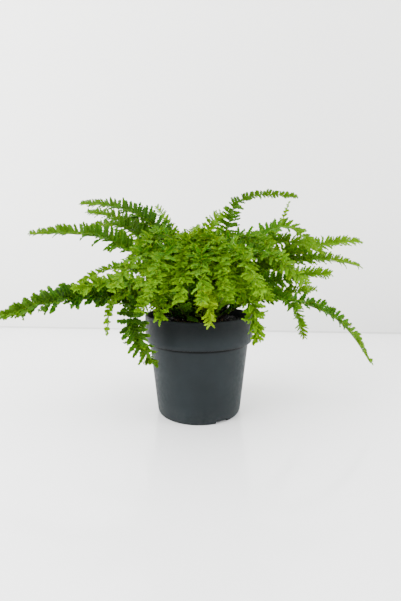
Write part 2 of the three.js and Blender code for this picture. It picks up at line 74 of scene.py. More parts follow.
# %% Soft light
def softbox(name, place, aim, size, power):
    """An area light of the given size at place, turned so that its face looks at aim."""
    data = bpy.data.lights.new(name, "AREA")
    data.shape = "RECTANGLE"
    data.size, data.size_y = size
    data.energy = power
    lamp = bpy.data.objects.new(name, data)
    lamp.location = place
    lamp.rotation_euler = (Vector(aim) - Vector(place)).to_track_quat("-Z", "Y").to_euler()
    bpy.context.scene.collection.objects.link(lamp)


softbox("window_left", (-1.1, -0.6, 0.95), (0, 0, 0.15), (1.0, 0.9), 47)
softbox("window_right", (1.2, -0.35, 0.75), (0, 0, 0.15), (0.8, 0.7), 22)
softbox("overhead", (0.0, -0.1, 1.5), (0, 0, 0.1), (1.6, 1.2), 29)

ROOM_STRENGTH = 1.42
DIM_FRONT = (0.48, 0.49, 0.5, 1)
BRIGHT_BACK = (0.97, 0.98, 1.0, 1)
# A Mix node has sockets of one name for every kind of value; these are the colour ones.
COLOR_A, COLOR_B, COLOR_RESULT = 6, 7, 2

world = bpy.data.worlds.new("room")
bpy.context.scene.world = world
world.use_nodes = True
room_nodes, room_link = world.node_tree.nodes, world.node_tree.links.new
background = room_nodes["Background"]
background.inputs["Strength"].default_value = ROOM_STRENGTH
sky = room_nodes.new("ShaderNodeTexCoord")
axes = room_nodes.new("ShaderNodeSeparateXYZ")
room_link(sky.outputs["Generated"], axes.inputs[0])
front = room_nodes.new("ShaderNodeMapRange")
front.interpolation_type = "SMOOTHSTEP"
front.inputs["From Min"].default_value = -1.0
front.inputs["From Max"].default_value = -0.35
room_link(axes.outputs["Y"], front.inputs["Value"])
shades = room_nodes.new("ShaderNodeMix")
shades.data_type = "RGBA"
shades.inputs[COLOR_A].default_value = DIM_FRONT
shades.inputs[COLOR_B].default_value = BRIGHT_BACK
room_link(front.outputs[0], shades.inputs["Factor"])
room_link(shades.outputs[COLOR_RESULT], background.inputs["Color"])

# %% [markdown]
# ## Two small helpers
# Every piece is made from arrays: one row per corner point, one row per face. A material starts
# as a Principled surface, and its values that never change are set on the shader's own sockets.

# %% Meshes from arrays
def mesh_from_arrays(name, points, quads=(), triangles=(), smooth=True):
    """A mesh object from points in mm (n, 3), four-cornered faces (m, 4) and triangles (k, 3)."""
    points = np.asarray(points, np.float64).reshape(-1, 3) * MM
    quads = np.asarray(quads, np.int32).reshape(-1, 4)
    triangles = np.asarray(triangles, np.int32).reshape(-1, 3)
    mesh = bpy.data.meshes.new(name)
    mesh.vertices.add(len(points))
    mesh.vertices.foreach_set("co", points.ravel())
    corners = np.concatenate([quads.ravel(), triangles.ravel()])
    mesh.loops.add(len(corners))
    mesh.loops.foreach_set("vertex_index", corners)
    totals = np.concatenate([np.full(len(quads), 4), np.full(len(triangles), 3)])
    starts = np.concatenate([[0], np.cumsum(totals)[:-1]])
    mesh.polygons.add(len(totals))
    mesh.polygons.foreach_set("loop_start", starts.astype(np.int32))
    mesh.polygons.foreach_set("loop_total", totals.astype(np.int32))
    mesh.polygons.foreach_set("use_smooth", np.full(len(totals), smooth))
    mesh.update()
    thing = bpy.data.objects.new(name, mesh)
    bpy.context.scene.collection.objects.link(thing)
    return thing


def give_attribute(thing, name, values):
    """Stores one number per point, for a material to read by name."""
    layer = thing.data.attributes.new(name, "FLOAT", "POINT")
    layer.data.foreach_set("value", np.asarray(values, np.float32))


def give_uv(thing, uv):
    """Stores one (u, v) pair per point as the mesh's UV map."""
    layer = thing.data.uv_layers.new(name="UVMap")
    corner = np.zeros(len(thing.data.loops), np.int32)
    thing.data.loops.foreach_get("vertex_index", corner)
    layer.data.foreach_set("uv", np.asarray(uv, np.float32)[corner].ravel())


# %% Materials and their nodes
def new_material(name, roughness, specular=0.5):
    """A node material with a Principled surface: returns (material, nodes, link, surface)."""
    material = bpy.data.materials.new(name)
    material.use_nodes = True
    tree = material.node_tree
    surface = tree.nodes["Principled BSDF"]
    surface.inputs["Roughness"].default_value = roughness
    surface.inputs["Specular IOR Level"].default_value = specular
    return material, tree.nodes, tree.links.new, surface


def math_node(nodes, link, operation, a, b=None, c=None, clamp=False):
    """One Math node, each input a number or a socket: returns its output socket."""
    node = nodes.new("ShaderNodeMath")
    node.operation = operation
    node.use_clamp = clamp
    for socket, value in zip(node.inputs, (a, b, c)):
        if value is None:
            continue
        if isinstance(value, (int, float)):
            socket.default_value = value
        else:
            link(value, socket)
    return node.outputs[0]


def blend_colors(nodes, link, factor, a, b):
    """Mixes two colours, each a tuple or a socket, by a factor: returns the colour socket."""
    node = nodes.new("ShaderNodeMix")
    node.data_type = "RGBA"
    if isinstance(factor, (int, float)):
        node.inputs["Factor"].default_value = factor
    else:
        link(factor, node.inputs["Factor"])
    for socket, value in ((node.inputs[COLOR_A], a), (node.inputs[COLOR_B], b)):
        if isinstance(value, tuple):
            socket.default_value = (*value, 1)
        else:
            link(value, socket)
    return node.outputs[COLOR_RESULT]


def srgb(r, g, b):
    """An eight-bit screen colour as the linear numbers a shader wants."""
    c = np.array([r, g, b]) / 255.0
    linear = np.where(c <= 0.04045, c / 12.92, ((c + 0.055) / 1.055) ** 2.4)
    return tuple(float(v) for v in linear)


# %% [markdown]
# A speckle group is shared by plastic, peat and bark: noise on Object coordinates at a stated
# grain size, put out as a mask for colour and a height for bumps.

# %% The shared speckle group
def build_speckle_group():
    """Noise at a grain size in mm: Mask (0 to 1, with contrast) and Height (two octaves)."""
    tree = bpy.data.node_groups.new("speckle", "ShaderNodeTree")
    for name, value in (("Grain Size", 1.0), ("Contrast", 1.0)):
        socket = tree.interface.new_socket(name, in_out="INPUT", socket_type="NodeSocketFloat")
        socket.default_value = value
    tree.interface.new_socket("Mask", in_out="OUTPUT", socket_type="NodeSocketFloat")
    tree.interface.new_socket("Height", in_out="OUTPUT", socket_type="NodeSocketFloat")
    nodes, link = tree.nodes, tree.links.new
    inlet = nodes.new("NodeGroupInput")
    outlet = nodes.new("NodeGroupOutput")
    place = nodes.new("ShaderNodeTexCoord")
    scale = math_node(nodes, link, "DIVIDE", 1000.0, inlet.outputs["Grain Size"])
    noise = nodes.new("ShaderNodeTexNoise")
    noise.inputs["Detail"].default_value = 3.0
    link(place.outputs["Object"], noise.inputs["Vector"])
    link(scale, noise.inputs["Scale"])
    centred = math_node(nodes, link, "SUBTRACT", noise.outputs[0], 0.5)
    spread = math_node(nodes, link, "MULTIPLY", centred, inlet.outputs["Contrast"])
    mask = math_node(nodes, link, "ADD", spread, 0.5, clamp=True)
    link(mask, outlet.inputs["Mask"])
    link(noise.outputs[0], outlet.inputs["Height"])
    return tree


SPECKLE = build_speckle_group()


def speckle(nodes, grain, contrast=1.0):
    """Places the speckle group in a material with its own grain size and contrast."""
    node = nodes.new("ShaderNodeGroup")
    node.node_tree = SPECKLE
    node.inputs["Grain Size"].default_value = grain
    node.inputs["Contrast"].default_value = contrast
    return node


def bump(nodes, link, height, surface, strength, distance_mm):
    """Feeds a height to the surface's normal through a Bump node."""
    node = nodes.new("ShaderNodeBump")
    node.inputs["Strength"].default_value = strength
    node.inputs["Distance"].default_value = distance_mm * MM
    link(height, node.inputs["Height"])
    link(node.outputs["Normal"], surface.inputs["Normal"])


def object_axes(nodes, link):
    """Object coordinates in metres, as sockets named X, Y and Z."""
    place = nodes.new("ShaderNodeTexCoord")
    split = nodes.new("ShaderNodeSeparateXYZ")
    link(place.outputs["Object"], split.inputs[0])
    return split.outputs


def cover(thing, material):
    """Gives a piece one material in place of any it has."""
    thing.data.materials.clear()
    thing.data.materials.append(material)


print("group", SPECKLE.name, [item.name for item in SPECKLE.interface.items_tree])

# %% [markdown]
# The room is a glossy white table and a matt white wall. The thin grey line of shade where they
# meet
# is painted: a narrow grey strip stands in front of the wall's foot. Three flat sheets are enough
# for them. Each is there from its front only, so that a camera behind the wall or under the table
# still sees the plant.

# %% Table and wall
ROOM_GRAIN = 60.0
GRAIN_CONTRAST = 0.6
GRAIN_SHADE = 0.985
# Painted shade: how much darker the room's sheets get towards the right.
PAINTED_RIGHT_SHADE = 0.14


def stage_material(name, color, roughness, specular=0.5, painted_foot_shade=0.0):
    """A sheet of the room is there from its front only, so that the plant can be seen from behind
    the wall and from under the table. Painted shade makes it a little darker to the right and, by
    the foot-shade amount, down towards its foot."""
    material, nodes, link, surface = new_material(name, roughness, specular)
    side = nodes.new("ShaderNodeNewGeometry")
    front = math_node(nodes, link, "SUBTRACT", 1.0, side.outputs["Backfacing"])
    link(front, surface.inputs["Alpha"])
    grain = speckle(nodes, ROOM_GRAIN, GRAIN_CONTRAST)
    darker = tuple(c * GRAIN_SHADE for c in color)
    tint = blend_colors(nodes, link, grain.outputs["Mask"], color, darker)
    axes = object_axes(nodes, link)
    # Painted shade: darker towards the right, and darker towards the foot by the foot-shade amount.
    right = math_node(nodes, link, "MULTIPLY_ADD", axes["X"], 1.1, 0.45, clamp=True)
    low = math_node(nodes, link, "MULTIPLY_ADD", axes["Z"], -3.5, 1.0, clamp=True)
    low = math_node(nodes, link, "MULTIPLY", low, painted_foot_shade)
    painted_shade = math_node(nodes, link, "MULTIPLY_ADD", right, PAINTED_RIGHT_SHADE, low)
    tint = blend_colors(nodes, link, painted_shade, tint, (0.0, 0.0, 0.0))
    link(tint, surface.inputs["Base Color"])
    return material


WALL_DISTANCE = 444.0
WALL_SLOPE = -0.082
ROOM_HALF = 2500.0
TABLE_FRONT = -1800.0
WALL_HEIGHT = 2400.0
SHADE_STRIP_HEIGHT = 4.0


def wall_y(x):
    """The wall is turned a little, so it comes nearer towards the right."""
    return WALL_DISTANCE + WALL_SLOPE * x


def flat_sheet(name, corners):
    """One flat four-cornered sheet of the room, which isn't part of the plant."""
    sheet = mesh_from_arrays(name, corners, quads=[[0, 1, 2, 3]], smooth=False)
    return sheet


def upright_sheet(name, low, high, before):
    """A sheet along the wall from one height to another, some way in front of it."""
    left, right = wall_y(-ROOM_HALF) - before, wall_y(ROOM_HALF) - before
    return flat_sheet(name, [[-ROOM_HALF, left, low], [ROOM_HALF, right, low],
                             [ROOM_HALF, right, high], [-ROOM_HALF, left, high]])


table = flat_sheet("table", [[-ROOM_HALF, TABLE_FRONT, 0], [ROOM_HALF, TABLE_FRONT, 0],
                             [ROOM_HALF, wall_y(ROOM_HALF), 0],
                             [-ROOM_HALF, wall_y(-ROOM_HALF), 0]])
table.data.materials.append(stage_material("white_table", srgb(252, 252, 252), 0.13, 0.9))
# The wall also gets painted shade towards its foot.
wall = upright_sheet("wall", -1.0, WALL_HEIGHT, 0.0)
wall.data.materials.append(stage_material("white_wall", srgb(252, 252, 249), 0.8, 0.5, 0.12))
# Painted shade: a grey strip along the wall's foot stands for the shadow line where wall and table
# meet.
painted_shade_strip = upright_sheet("wall_foot_shade", 0.0, SHADE_STRIP_HEIGHT, 1.0)
painted_shade_strip.data.materials.append(stage_material("painted_shade_line", srgb(216, 216, 213), 0.8))
print("stage", table.name, wall.name, painted_shade_strip.name)

# %% [markdown]
# ## The pot
# A grower pot is one thin injection-moulded shell of dark polypropylene. A turned surface is the
# natural way to draw it: a profile of (radius, height) points is carried round the axis. Only two
# things break the roundness: drainage notches through the standing ring, made by lifting the
# lowest points where a notch is, and drain holes in the floor, which is a plate of its own.

# %% The wall of the pot
RIM_TOP = 109.9
COLLAR_BOTTOM = 81.0
NOTCH_AZIMUTHS = (302, 62, 182)
NOTCH_ANGLE = 18.0
NOTCH_HEIGHT = 3.0


def rounded_profile(points, radii, steps=5):
    """Replaces each corner of a closed polygon by an arc-like curve that starts and ends the given
    distance away: a quadratic curve (1-t)^2 a + 2t(1-t) corner + t^2 b."""
    points = np.asarray(points, float)
    rows = []
    for i, (corner, radius) in enumerate(zip(points, radii)):
        before, after = points[i - 1], points[(i + 1) % len(points)]
        if radius == 0:
            rows.append(corner[None])
            continue
        a = corner + (before - corner) * min(0.48, radius / np.linalg.norm(before - corner))
        b = corner + (after - corner) * min(0.48, radius / np.linalg.norm(after - corner))
        t = np.linspace(0, 1, steps)[:, None]
        rows.append((1 - t) ** 2 * a + 2 * t * (1 - t) * corner + t ** 2 * b)
    return np.vstack(rows)


def turned_surface(profile, azimuths):
    """Points r cos(a), r sin(a), z for every profile row and azimuth: grid (rows, columns, 3)."""
    a = np.radians(azimuths)[None, :]
    r = profile[:, :1]
    z = np.broadcast_to(profile[:, 1:], (len(profile), a.shape[1]))
    return np.stack([r * np.cos(a), r * np.sin(a), z], -1)


def ring_quads(rows, columns, wrap_rows):
    """Faces of a grid whose columns close on themselves, and its rows too if wrap_rows."""
    last = rows if wrap_rows else rows - 1
    i, j = np.meshgrid(np.arange(last), np.arange(columns), indexing="ij")
    i2, j2 = (i + 1) % rows, (j + 1) % columns
    return np.stack([i * columns + j, i * columns + j2, i2 * columns + j2, i2 * columns + j], -1)


# Up the outside from the standing ring to the collar and the rim, then down the inside; the second
# list says how far from each corner its rounding starts.
profile = rounded_profile(
    [[43.2, 0], [45.6, 0], [46.8, 2.2], [55.2, COLLAR_BOTTOM], [58.9, COLLAR_BOTTOM],
     [59.9, 85], [59.85, RIM_TOP], [57.9, RIM_TOP], [57.6, 83.6], [53.9, 80], [45.3, 5.2],
     [42.6, 3.4]],
    [0.3, 0.6, 3.0, 0, 0.6, 2.5, 0.9, 0.7, 1.5, 1.5, 0.8, 0.3])
ticks = np.arange(0, 360, 2.5)
across_notch = (-0.25, 0.0, NOTCH_ANGLE - 0.001, NOTCH_ANGLE + 0.25)
edges = np.concatenate([[c - NOTCH_ANGLE / 2 + d for d in across_notch]
                        for c in NOTCH_AZIMUTHS]) % 360
azimuths = np.unique(np.round(np.concatenate([ticks, edges]), 3))
shell = turned_surface(profile, azimuths)
offset = np.min([np.abs((azimuths - c + 180) % 360 - 180) for c in NOTCH_AZIMUTHS], axis=0)
lift = np.where(offset <= NOTCH_ANGLE / 2 + 0.01, NOTCH_HEIGHT, 0.0)
shell[..., 2] = np.maximum(shell[..., 2], lift[None, :])
pot = mesh_from_arrays("grower_pot", shell, ring_quads(len(profile), len(azimuths), True))
print("pot wall faces", len(pot.data.polygons))

# %% [markdown]
# The floor plate has six round holes. Each hole sits in the middle of a wedge, so the plate is six
# grids: ring lines that start as the hole's circle and end as the outline of the wedge.

# %% The floor with its drain holes
DRAIN_HOLES = 6
FLOOR_RADIUS = 45.9
FLOOR_LOW, FLOOR_HIGH = 3.45, 5.15
HOLE_CIRCLE, HOLE_RADIUS = 32.0, 4.5
OUTLINE_POINTS = 36
POT_CREASE = 38.0


def wedge_outline(radius, half_angle, count):
    """Points round a wedge: out along one edge, along the arc, and back along the other edge."""
    out = np.linspace(0, 1, count // 3, endpoint=False)
    arc = np.radians(-half_angle + 2 * half_angle * out)
    low, high = math.radians(-half_angle), math.radians(half_angle)
    edge_a = radius * out[:, None] * np.array([[math.cos(low), math.sin(low)]])
    rim = radius * np.stack([np.cos(arc), np.sin(arc)], -1)
    edge_b = radius * (1 - out)[:, None] * np.array([[math.cos(high), math.sin(high)]])
    return np.vstack([edge_a, rim, edge_b])


def wedge_with_hole():
    """P(a, k) = (1 - a) hole point k + a outline point k, on the underside and on top, with the
    hole's wall between them and the plate's outer edge along the arc."""
    outline = wedge_outline(FLOOR_RADIUS, 180.0 / DRAIN_HOLES, OUTLINE_POINTS)
    middle = np.array([HOLE_CIRCLE, 0.0])
    way = outline - middle
    rim = middle + HOLE_RADIUS * way / np.linalg.norm(way, axis=1, keepdims=True)
    shares = np.array([0.0, 0.3, 1.0])[:, None, None]
    sheet = (1 - shares) * rim + shares * outline
    under = np.dstack([sheet, np.full(sheet.shape[:2], FLOOR_LOW)])
    upper = np.dstack([sheet, np.full(sheet.shape[:2], FLOOR_HIGH)])
    grid = np.concatenate([under[::-1], upper])
    wrapped = ring_quads(len(grid), OUTLINE_POINTS, True)
    arc = np.arange(OUTLINE_POINTS // 3, 2 * OUTLINE_POINTS // 3)
    quads = np.vstack([wrapped[:-1].reshape(-1, 4), wrapped[-1][arc]])
    return grid.reshape(-1, 3), quads


wedge_points, wedge_quads = wedge_with_hole()
turns = np.radians((np.arange(DRAIN_HOLES) + 0.5) * 360 / DRAIN_HOLES)
spin = np.zeros((DRAIN_HOLES, 3, 3))
spin[:, 0, 0] = spin[:, 1, 1] = np.cos(turns)
spin[:, 0, 1], spin[:, 1, 0], spin[:, 2, 2] = np.sin(turns), -np.sin(turns), 1
plate_points = np.einsum("pj,hjk->hpk", wedge_points, spin)
plate_quads = wedge_quads[None] + len(wedge_points) * np.arange(DRAIN_HOLES)[:, None, None]
plate = mesh_from_arrays("floor_plate", plate_points, plate_quads, smooth=False)


def weld(thing, distance=0.005):
    """Merges points closer than the distance in mm, then turns every face outwards."""
    soft = bmesh.new()
    soft.from_mesh(thing.data)
    bmesh.ops.remove_doubles(soft, verts=soft.verts, dist=distance * MM)
    bmesh.ops.recalc_face_normals(soft, faces=soft.faces)
    soft.to_mesh(thing.data)
    soft.free()


def join(target, *others):
    """Joins other objects into target, which keeps its name."""
    chosen = [target, *others]
    with bpy.context.temp_override(active_object=target, selected_editable_objects=chosen):
        bpy.ops.object.join()
    return target


weld(plate)
pot = join(pot, plate)
pot.data.set_sharp_from_angle(angle=math.radians(POT_CREASE))
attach(pot, "root")
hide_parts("pot")
print("pot faces", len(pot.data.polygons))

# %% [markdown]
# Polypropylene from the mould is a soft anthracite: a fine leathery grain breaks the gloss, and the
# colour drifts a little where the plastic flowed. Dust and dried water lighten it near the foot.
# The shade of the fronds on the collar and the shadow just under it are painted into the colour.

# %% Anthracite polypropylene
def height_ramp(nodes, link, height, low, high, kind="SMOOTHSTEP"):
    """A change from 0 at the low height to 1 at the high one, both in metres."""
    node = nodes.new("ShaderNodeMapRange")
    node.interpolation_type = kind
    node.inputs["From Min"].default_value = low
    node.inputs["From Max"].default_value = high
    link(height, node.inputs["Value"])
    return node.outputs[0]


def pot_plastic():
    """Dark plastic, dusty at the foot, with painted shade on the collar and a painted shadow under
    it.
    """
    material, nodes, link, surface = new_material("anthracite_plastic", 0.5, 0.1)
    height = object_axes(nodes, link)["Z"]
    drift = speckle(nodes, 26.0, 1.6)
    fine = speckle(nodes, 0.35, 1.0)
    marks = speckle(nodes, 4.0, 3.0)
    base = blend_colors(nodes, link, drift.outputs["Mask"], srgb(30, 36, 38), srgb(26, 31, 33))
    foot = height_ramp(nodes, link, height, 0.022, 0.0, "LINEAR")
    dust = math_node(nodes, link, "MULTIPLY", foot, marks.outputs["Mask"])
    dust = math_node(nodes, link, "MULTIPLY", dust, 0.12, clamp=True)
    dusty = blend_colors(nodes, link, dust, base, srgb(84, 86, 84))
    # Painted shade: the collar darkens towards the rim, where the fronds above shade it.
    collar_shade = height_ramp(nodes, link, height, 0.084, 0.104)
    darker = blend_colors(nodes, link, collar_shade, dusty, srgb(15, 19, 20))
    # Painted shadow: a dark band on the wall just under the collar's overhang.
    painted_shadow_band = height_ramp(nodes, link, height, 0.0775, 0.0792)
    above = height_ramp(nodes, link, height, 0.0818, 0.0812)
    painted_shadow_band = math_node(nodes, link, "MULTIPLY", painted_shadow_band, above)
    shaded = blend_colors(nodes, link, painted_shadow_band, darker, srgb(4, 5, 6))
    link(shaded, surface.inputs["Base Color"])
    rough = math_node(nodes, link, "MULTIPLY_ADD", marks.outputs["Mask"], 0.12, 0.46)
    link(rough, surface.inputs["Roughness"])
    bump(nodes, link, fine.outputs["Height"], surface, 0.12, 0.08)
    return material


cover(pot, pot_plastic())
print("material", pot.data.materials[0].name)

# %% [markdown]
# ## Potting mix and crown
# The mix is peat: black when damp, crumbly, with brown fibres and pale grains in it. The surface is
# a polar grid whose height is the CAD surface plus a sum of small waves, closed underneath. Loose
# crumbs lie on it, each a squashed twenty-sided lump.

# %% Ground height and its roughness
CROWN_RADIUS = 30.0
CROWN_TOP = 106.5
MIX_CROWN = 103.5
MIX_EDGE = 100.5
MIX_RADIUS = 60.0


def ground_height(r):
    """Height of the growing surface over the table at radius r, the same rule as the solids'."""
    r = np.asarray(r, float)
    out = (r - CROWN_RADIUS) / (MIX_RADIUS - CROWN_RADIUS)
    slope = MIX_CROWN + (MIX_EDGE - MIX_CROWN) * out
    mound = MIX_CROWN + (CROWN_TOP - MIX_CROWN) * (1 - (r / CROWN_RADIUS) ** 2)
    return np.where(r > CROWN_RADIUS, slope, mound)


def crumble(x, y, seed, shortest, longest, count=36):
    """A sum of waves sin(k x cos a + k y sin a + p), of random direction a and phase p, whose
    strength grows with wavelength; it runs from about -1 to 1."""
    rng = np.random.default_rng(seed)
    wave = np.exp(rng.uniform(np.log(shortest), np.log(longest), count))
    angle = rng.uniform(0, 2 * np.pi, count)
    phase = rng.uniform(0, 2 * np.pi, count)
    weight = wave ** 0.6
    total = np.zeros(np.broadcast(x, y).shape)
    for k, a, p, w in zip(2 * np.pi / wave, angle, phase, weight):
        total = total + w * np.sin(k * (x * np.cos(a) + y * np.sin(a)) + p)
    return total / (1.2 * np.sqrt((weight ** 2).sum()))


print("ground at the axis and the crown's edge", ground_height([0, CROWN_RADIUS]), "mm")

# %% Mix surface
CROWN_SEAT = 91.2
MIX_COLUMNS = 170
BUMP_HEIGHT = 0.8


def turned_body(name, radius, height, below):
    """A polar grid whose rings have the given radii and a height for every point, carried on down
    the profile below it, and closed by a pole on top and one underneath."""
    columns = height.shape[1]
    angle = np.linspace(0, 360, columns, endpoint=False)
    x = radius[:, None] * np.cos(np.radians(angle))
    y = radius[:, None] * np.sin(np.radians(angle))
    grid = np.concatenate([np.stack([x, y, height], -1), turned_surface(np.array(below), angle)])
    points = grid.reshape(-1, 3)
    poles = np.array([[0, 0, height[0].mean()], [0, 0, below[-1][1]]])
    first = np.arange(columns)
    after = (first + 1) % columns
    last = (len(grid) - 1) * columns
    top, bottom = np.full(columns, len(points)), np.full(columns, len(points) + 1)
    caps = np.vstack([np.stack([after, top, first], -1),
                      np.stack([bottom, last + after, last + first], -1)])
    quads = ring_quads(len(grid), columns, False).reshape(-1, 4)[:, ::-1]
    return mesh_from_arrays(name, np.vstack([points, poles]), quads, caps)


def polar_bumps(radius, columns, seed, shortest, longest):
    """Crumble on a polar grid: one row for each radius, one column for each azimuth."""
    angle = np.radians(np.linspace(0, 360, columns, endpoint=False))
    return crumble(radius[:, None] * np.cos(angle), radius[:, None] * np.sin(angle),
                   seed, shortest, longest)


seat = np.array([0.6, 14.0, 27.7])
growing = np.linspace(30.6, 57.3, 30)
mix_radius = np.concatenate([seat, growing])
bumps = polar_bumps(mix_radius, MIX_COLUMNS, 4, 2.6, 12.0) * (mix_radius > CROWN_RADIUS)[:, None]
level = np.concatenate([np.full(len(seat), CROWN_SEAT), ground_height(growing)])
mix_height = level[:, None] + BUMP_HEIGHT * bumps
mix = turned_body("peat_mix", mix_radius, mix_height,
                  [[57.1, 84.2], [53.4, 80.3], [45.0, 5.6], [0.6, 5.6]])
print("mix faces", len(mix.data.polygons))

# %% Crumbs lying on it
def lumps(rng, count, centre_radius, size):
    """Random twenty-sided lumps: icosahedron corners stretched by random axes, turned by a random
    rotation and set on the ground. Returns points (count * 12, 3) and triangles."""
    g = (1 + 5 ** 0.5) / 2
    corners = np.array([[-1, g, 0], [1, g, 0], [-1, -g, 0], [1, -g, 0], [0, -1, g], [0, 1, g],
                        [0, -1, -g], [0, 1, -g], [g, 0, -1], [g, 0, 1], [-g, 0, -1], [-g, 0, 1]])
    faces = np.array([[0, 11, 5], [0, 5, 1], [0, 1, 7], [0, 7, 10], [0, 10, 11], [1, 5, 9],
                      [5, 11, 4], [11, 10, 2], [10, 7, 6], [7, 1, 8], [3, 9, 4], [3, 4, 2],
                      [3, 2, 6], [3, 6, 8], [3, 8, 9], [4, 9, 5], [2, 4, 11], [6, 2, 10],
                      [8, 6, 7], [9, 8, 1]])
    ball = corners / np.linalg.norm(corners[0])
    stretch = rng.uniform(0.5, 1.3, (count, 1, 3)) * rng.uniform(*size, (count, 1, 1))
    turn = np.linalg.qr(rng.normal(size=(count, 3, 3)))[0]
    turn[np.linalg.det(turn) < 0, :, 0] *= -1
    shape = (ball * (1 + rng.uniform(-0.2, 0.2, (count, len(corners), 1)))) * stretch
    shape = shape @ turn
    radius = centre_radius * np.sqrt(rng.uniform(0, 1, count))
    angle = rng.uniform(0, 2 * np.pi, count)
    ground = ground_height(radius) + 0.2
    middle = np.stack([radius * np.cos(angle), radius * np.sin(angle), ground], -1)
    points = shape + middle[:, None, :]
    triangles = faces[None] + len(corners) * np.arange(count)[:, None, None]
    return points.reshape(-1, 3), triangles.reshape(-1, 3)


CRUMBS = 900
rng = np.random.default_rng(11)
crumb_points, crumb_faces = lumps(rng, CRUMBS, 55.0, (0.5, 1.7))
crumbs = mesh_from_arrays("peat_crumbs", crumb_points, triangles=crumb_faces, smooth=False)
shade = np.repeat(rng.uniform(0, 1, CRUMBS), len(crumb_points) // CRUMBS)
give_attribute(crumbs, "crumb_shade", shade)
give_attribute(mix, "crumb_shade", np.full(len(mix.data.vertices), 0.3))
mix = join(mix, crumbs)
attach(mix, "root")
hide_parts("potting_mix")
print("mix and crumbs faces", len(mix.data.polygons))

# %% [markdown]
# Damp peat is nearly black and quite matt. Crumbs of different colours make it look loose, so each
# crumb carries a random number, and the material turns those with a high one brown or pale.

# %% Damp peat
BROWN_FROM = 0.72
PALE_FROM = 0.965


def damp_peat():
    """Black peat with brown crumbs and a few pale grains, picked by each crumb's shade."""
    material, nodes, link, surface = new_material("damp_peat", 0.9, 0.25)
    shade_in = nodes.new("ShaderNodeAttribute")
    shade_in.attribute_name = "crumb_shade"
    coarse = speckle(nodes, 3.2, 2.4)
    fine = speckle(nodes, 0.7, 2.2)
    dark = blend_colors(nodes, link, coarse.outputs["Mask"], srgb(4, 3, 3), srgb(16, 13, 10))
    brown = blend_colors(nodes, link, fine.outputs["Mask"], srgb(6, 5, 4), srgb(22, 17, 13))
    pick = math_node(nodes, link, "GREATER_THAN", shade_in.outputs["Fac"], BROWN_FROM)
    peat = blend_colors(nodes, link, pick, dark, brown)
    pale = math_node(nodes, link, "GREATER_THAN", shade_in.outputs["Fac"], PALE_FROM)
    speckled = blend_colors(nodes, link, pale, peat, srgb(96, 92, 82))
    link(speckled, surface.inputs["Base Color"])
    bump(nodes, link, fine.outputs["Height"], surface, 0.7, 0.5)
    return material


cover(mix, damp_peat())
print("material", mix.data.materials[0].name)

# %% [markdown]
# The rhizome crown is a low woody mound of short stems, old stipe stubs and rusty scales. It fills
# its seat in the mix. The mound is the same kind of turned body with shorter bumps, and stubs and
# scales are set on it as small tapered spikes.

# %% Crown mound
CROWN_COLUMNS = 130
EDGE_DROP = 0.8

crown_radius = np.linspace(0.6, 30.3, 26)
bark = polar_bumps(crown_radius, CROWN_COLUMNS, 9, 1.6, 7.0)
crown_height = ground_height(crown_radius)[:, None] + bark
near_edge = crown_radius[:, None] > CROWN_RADIUS - 1
crown_height = np.where(near_edge, crown_height - EDGE_DROP, crown_height)
crown = turned_body("rhizome_mound", crown_radius, crown_height,
                    [[30.3, 101.5], [27.4, 91.6], [0.6, 91.6]])
print("crown faces", len(crown.data.polygons))


# %% Stubs and scales on the crown
def spikes(rng, count, length, thickness, lean):
    """Four-sided tapered spikes standing on the mound, leaning outwards by up to lean degrees:
    corner k of ring i is foot + l_i axis + t_i (cos k side + sin k up)."""
    radius = (CROWN_RADIUS - 1.5) * np.sqrt(rng.uniform(0, 1, count))
    angle = rng.uniform(0, 2 * np.pi, count)
    sunk = ground_height(radius) - 0.8
    foot = np.stack([radius * np.cos(angle), radius * np.sin(angle), sunk], -1)
    tilt = np.radians(rng.uniform(5, lean, count))
    twist = angle + rng.normal(0, 0.8, count)
    axis = np.stack([np.sin(tilt) * np.cos(twist), np.sin(tilt) * np.sin(twist), np.cos(tilt)], -1)
    side = np.cross(axis, [0.3, 0.5, 0.81])
    side /= np.linalg.norm(side, axis=1, keepdims=True)
    up = np.cross(axis, side)
    ways = np.radians([0, 90, 180, 270])
    ring = np.cos(ways)[:, None] * side[:, None] + np.sin(ways)[:, None] * up[:, None]
    longs = rng.uniform(*length, count)[:, None, None]
    thick = rng.uniform(*thickness, count)[:, None, None]
    levels = [(0.0, 1.0), (0.6, 0.8), (1.0, 0.35)]
    rings = [foot[:, None] + l * longs * axis[:, None] + t * thick * ring for l, t in levels]
    points = np.concatenate(rings, 1)
    k = np.arange(4)
    k2 = (k + 1) % 4
    walls = [np.stack([4 * i + k, 4 * i + k2, 4 * i + 4 + k2, 4 * i + 4 + k], -1) for i in range(2)]
    faces = np.vstack([*walls, [[3, 2, 1, 0]], [[8, 9, 10, 11]]])
    shift = points.shape[1] * np.arange(count)[:, None, None]
    return points.reshape(-1, 3), (faces + shift).reshape(-1, 4)


rng = np.random.default_rng(23)
stub_points, stub_faces = spikes(rng, 70, (2.0, 6.0), (0.5, 1.0), 35)
scale_points, scale_faces = spikes(rng, 700, (1.2, 3.6), (0.08, 0.28), 75)
stubs = mesh_from_arrays("stubs", stub_points, stub_faces, smooth=False)
scales = mesh_from_arrays("scales", scale_points, scale_faces, smooth=False)
crown = join(crown, stubs, scales)
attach(crown, "root")
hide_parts("rhizome_crown")
print("crown with stubs and scales faces", len(crown.data.polygons))


# %% [markdown]
# Old bark and rusty scales lie mixed on the crown. Two speckles of different grain, half of each,
# give that without a material of its own for every scale.

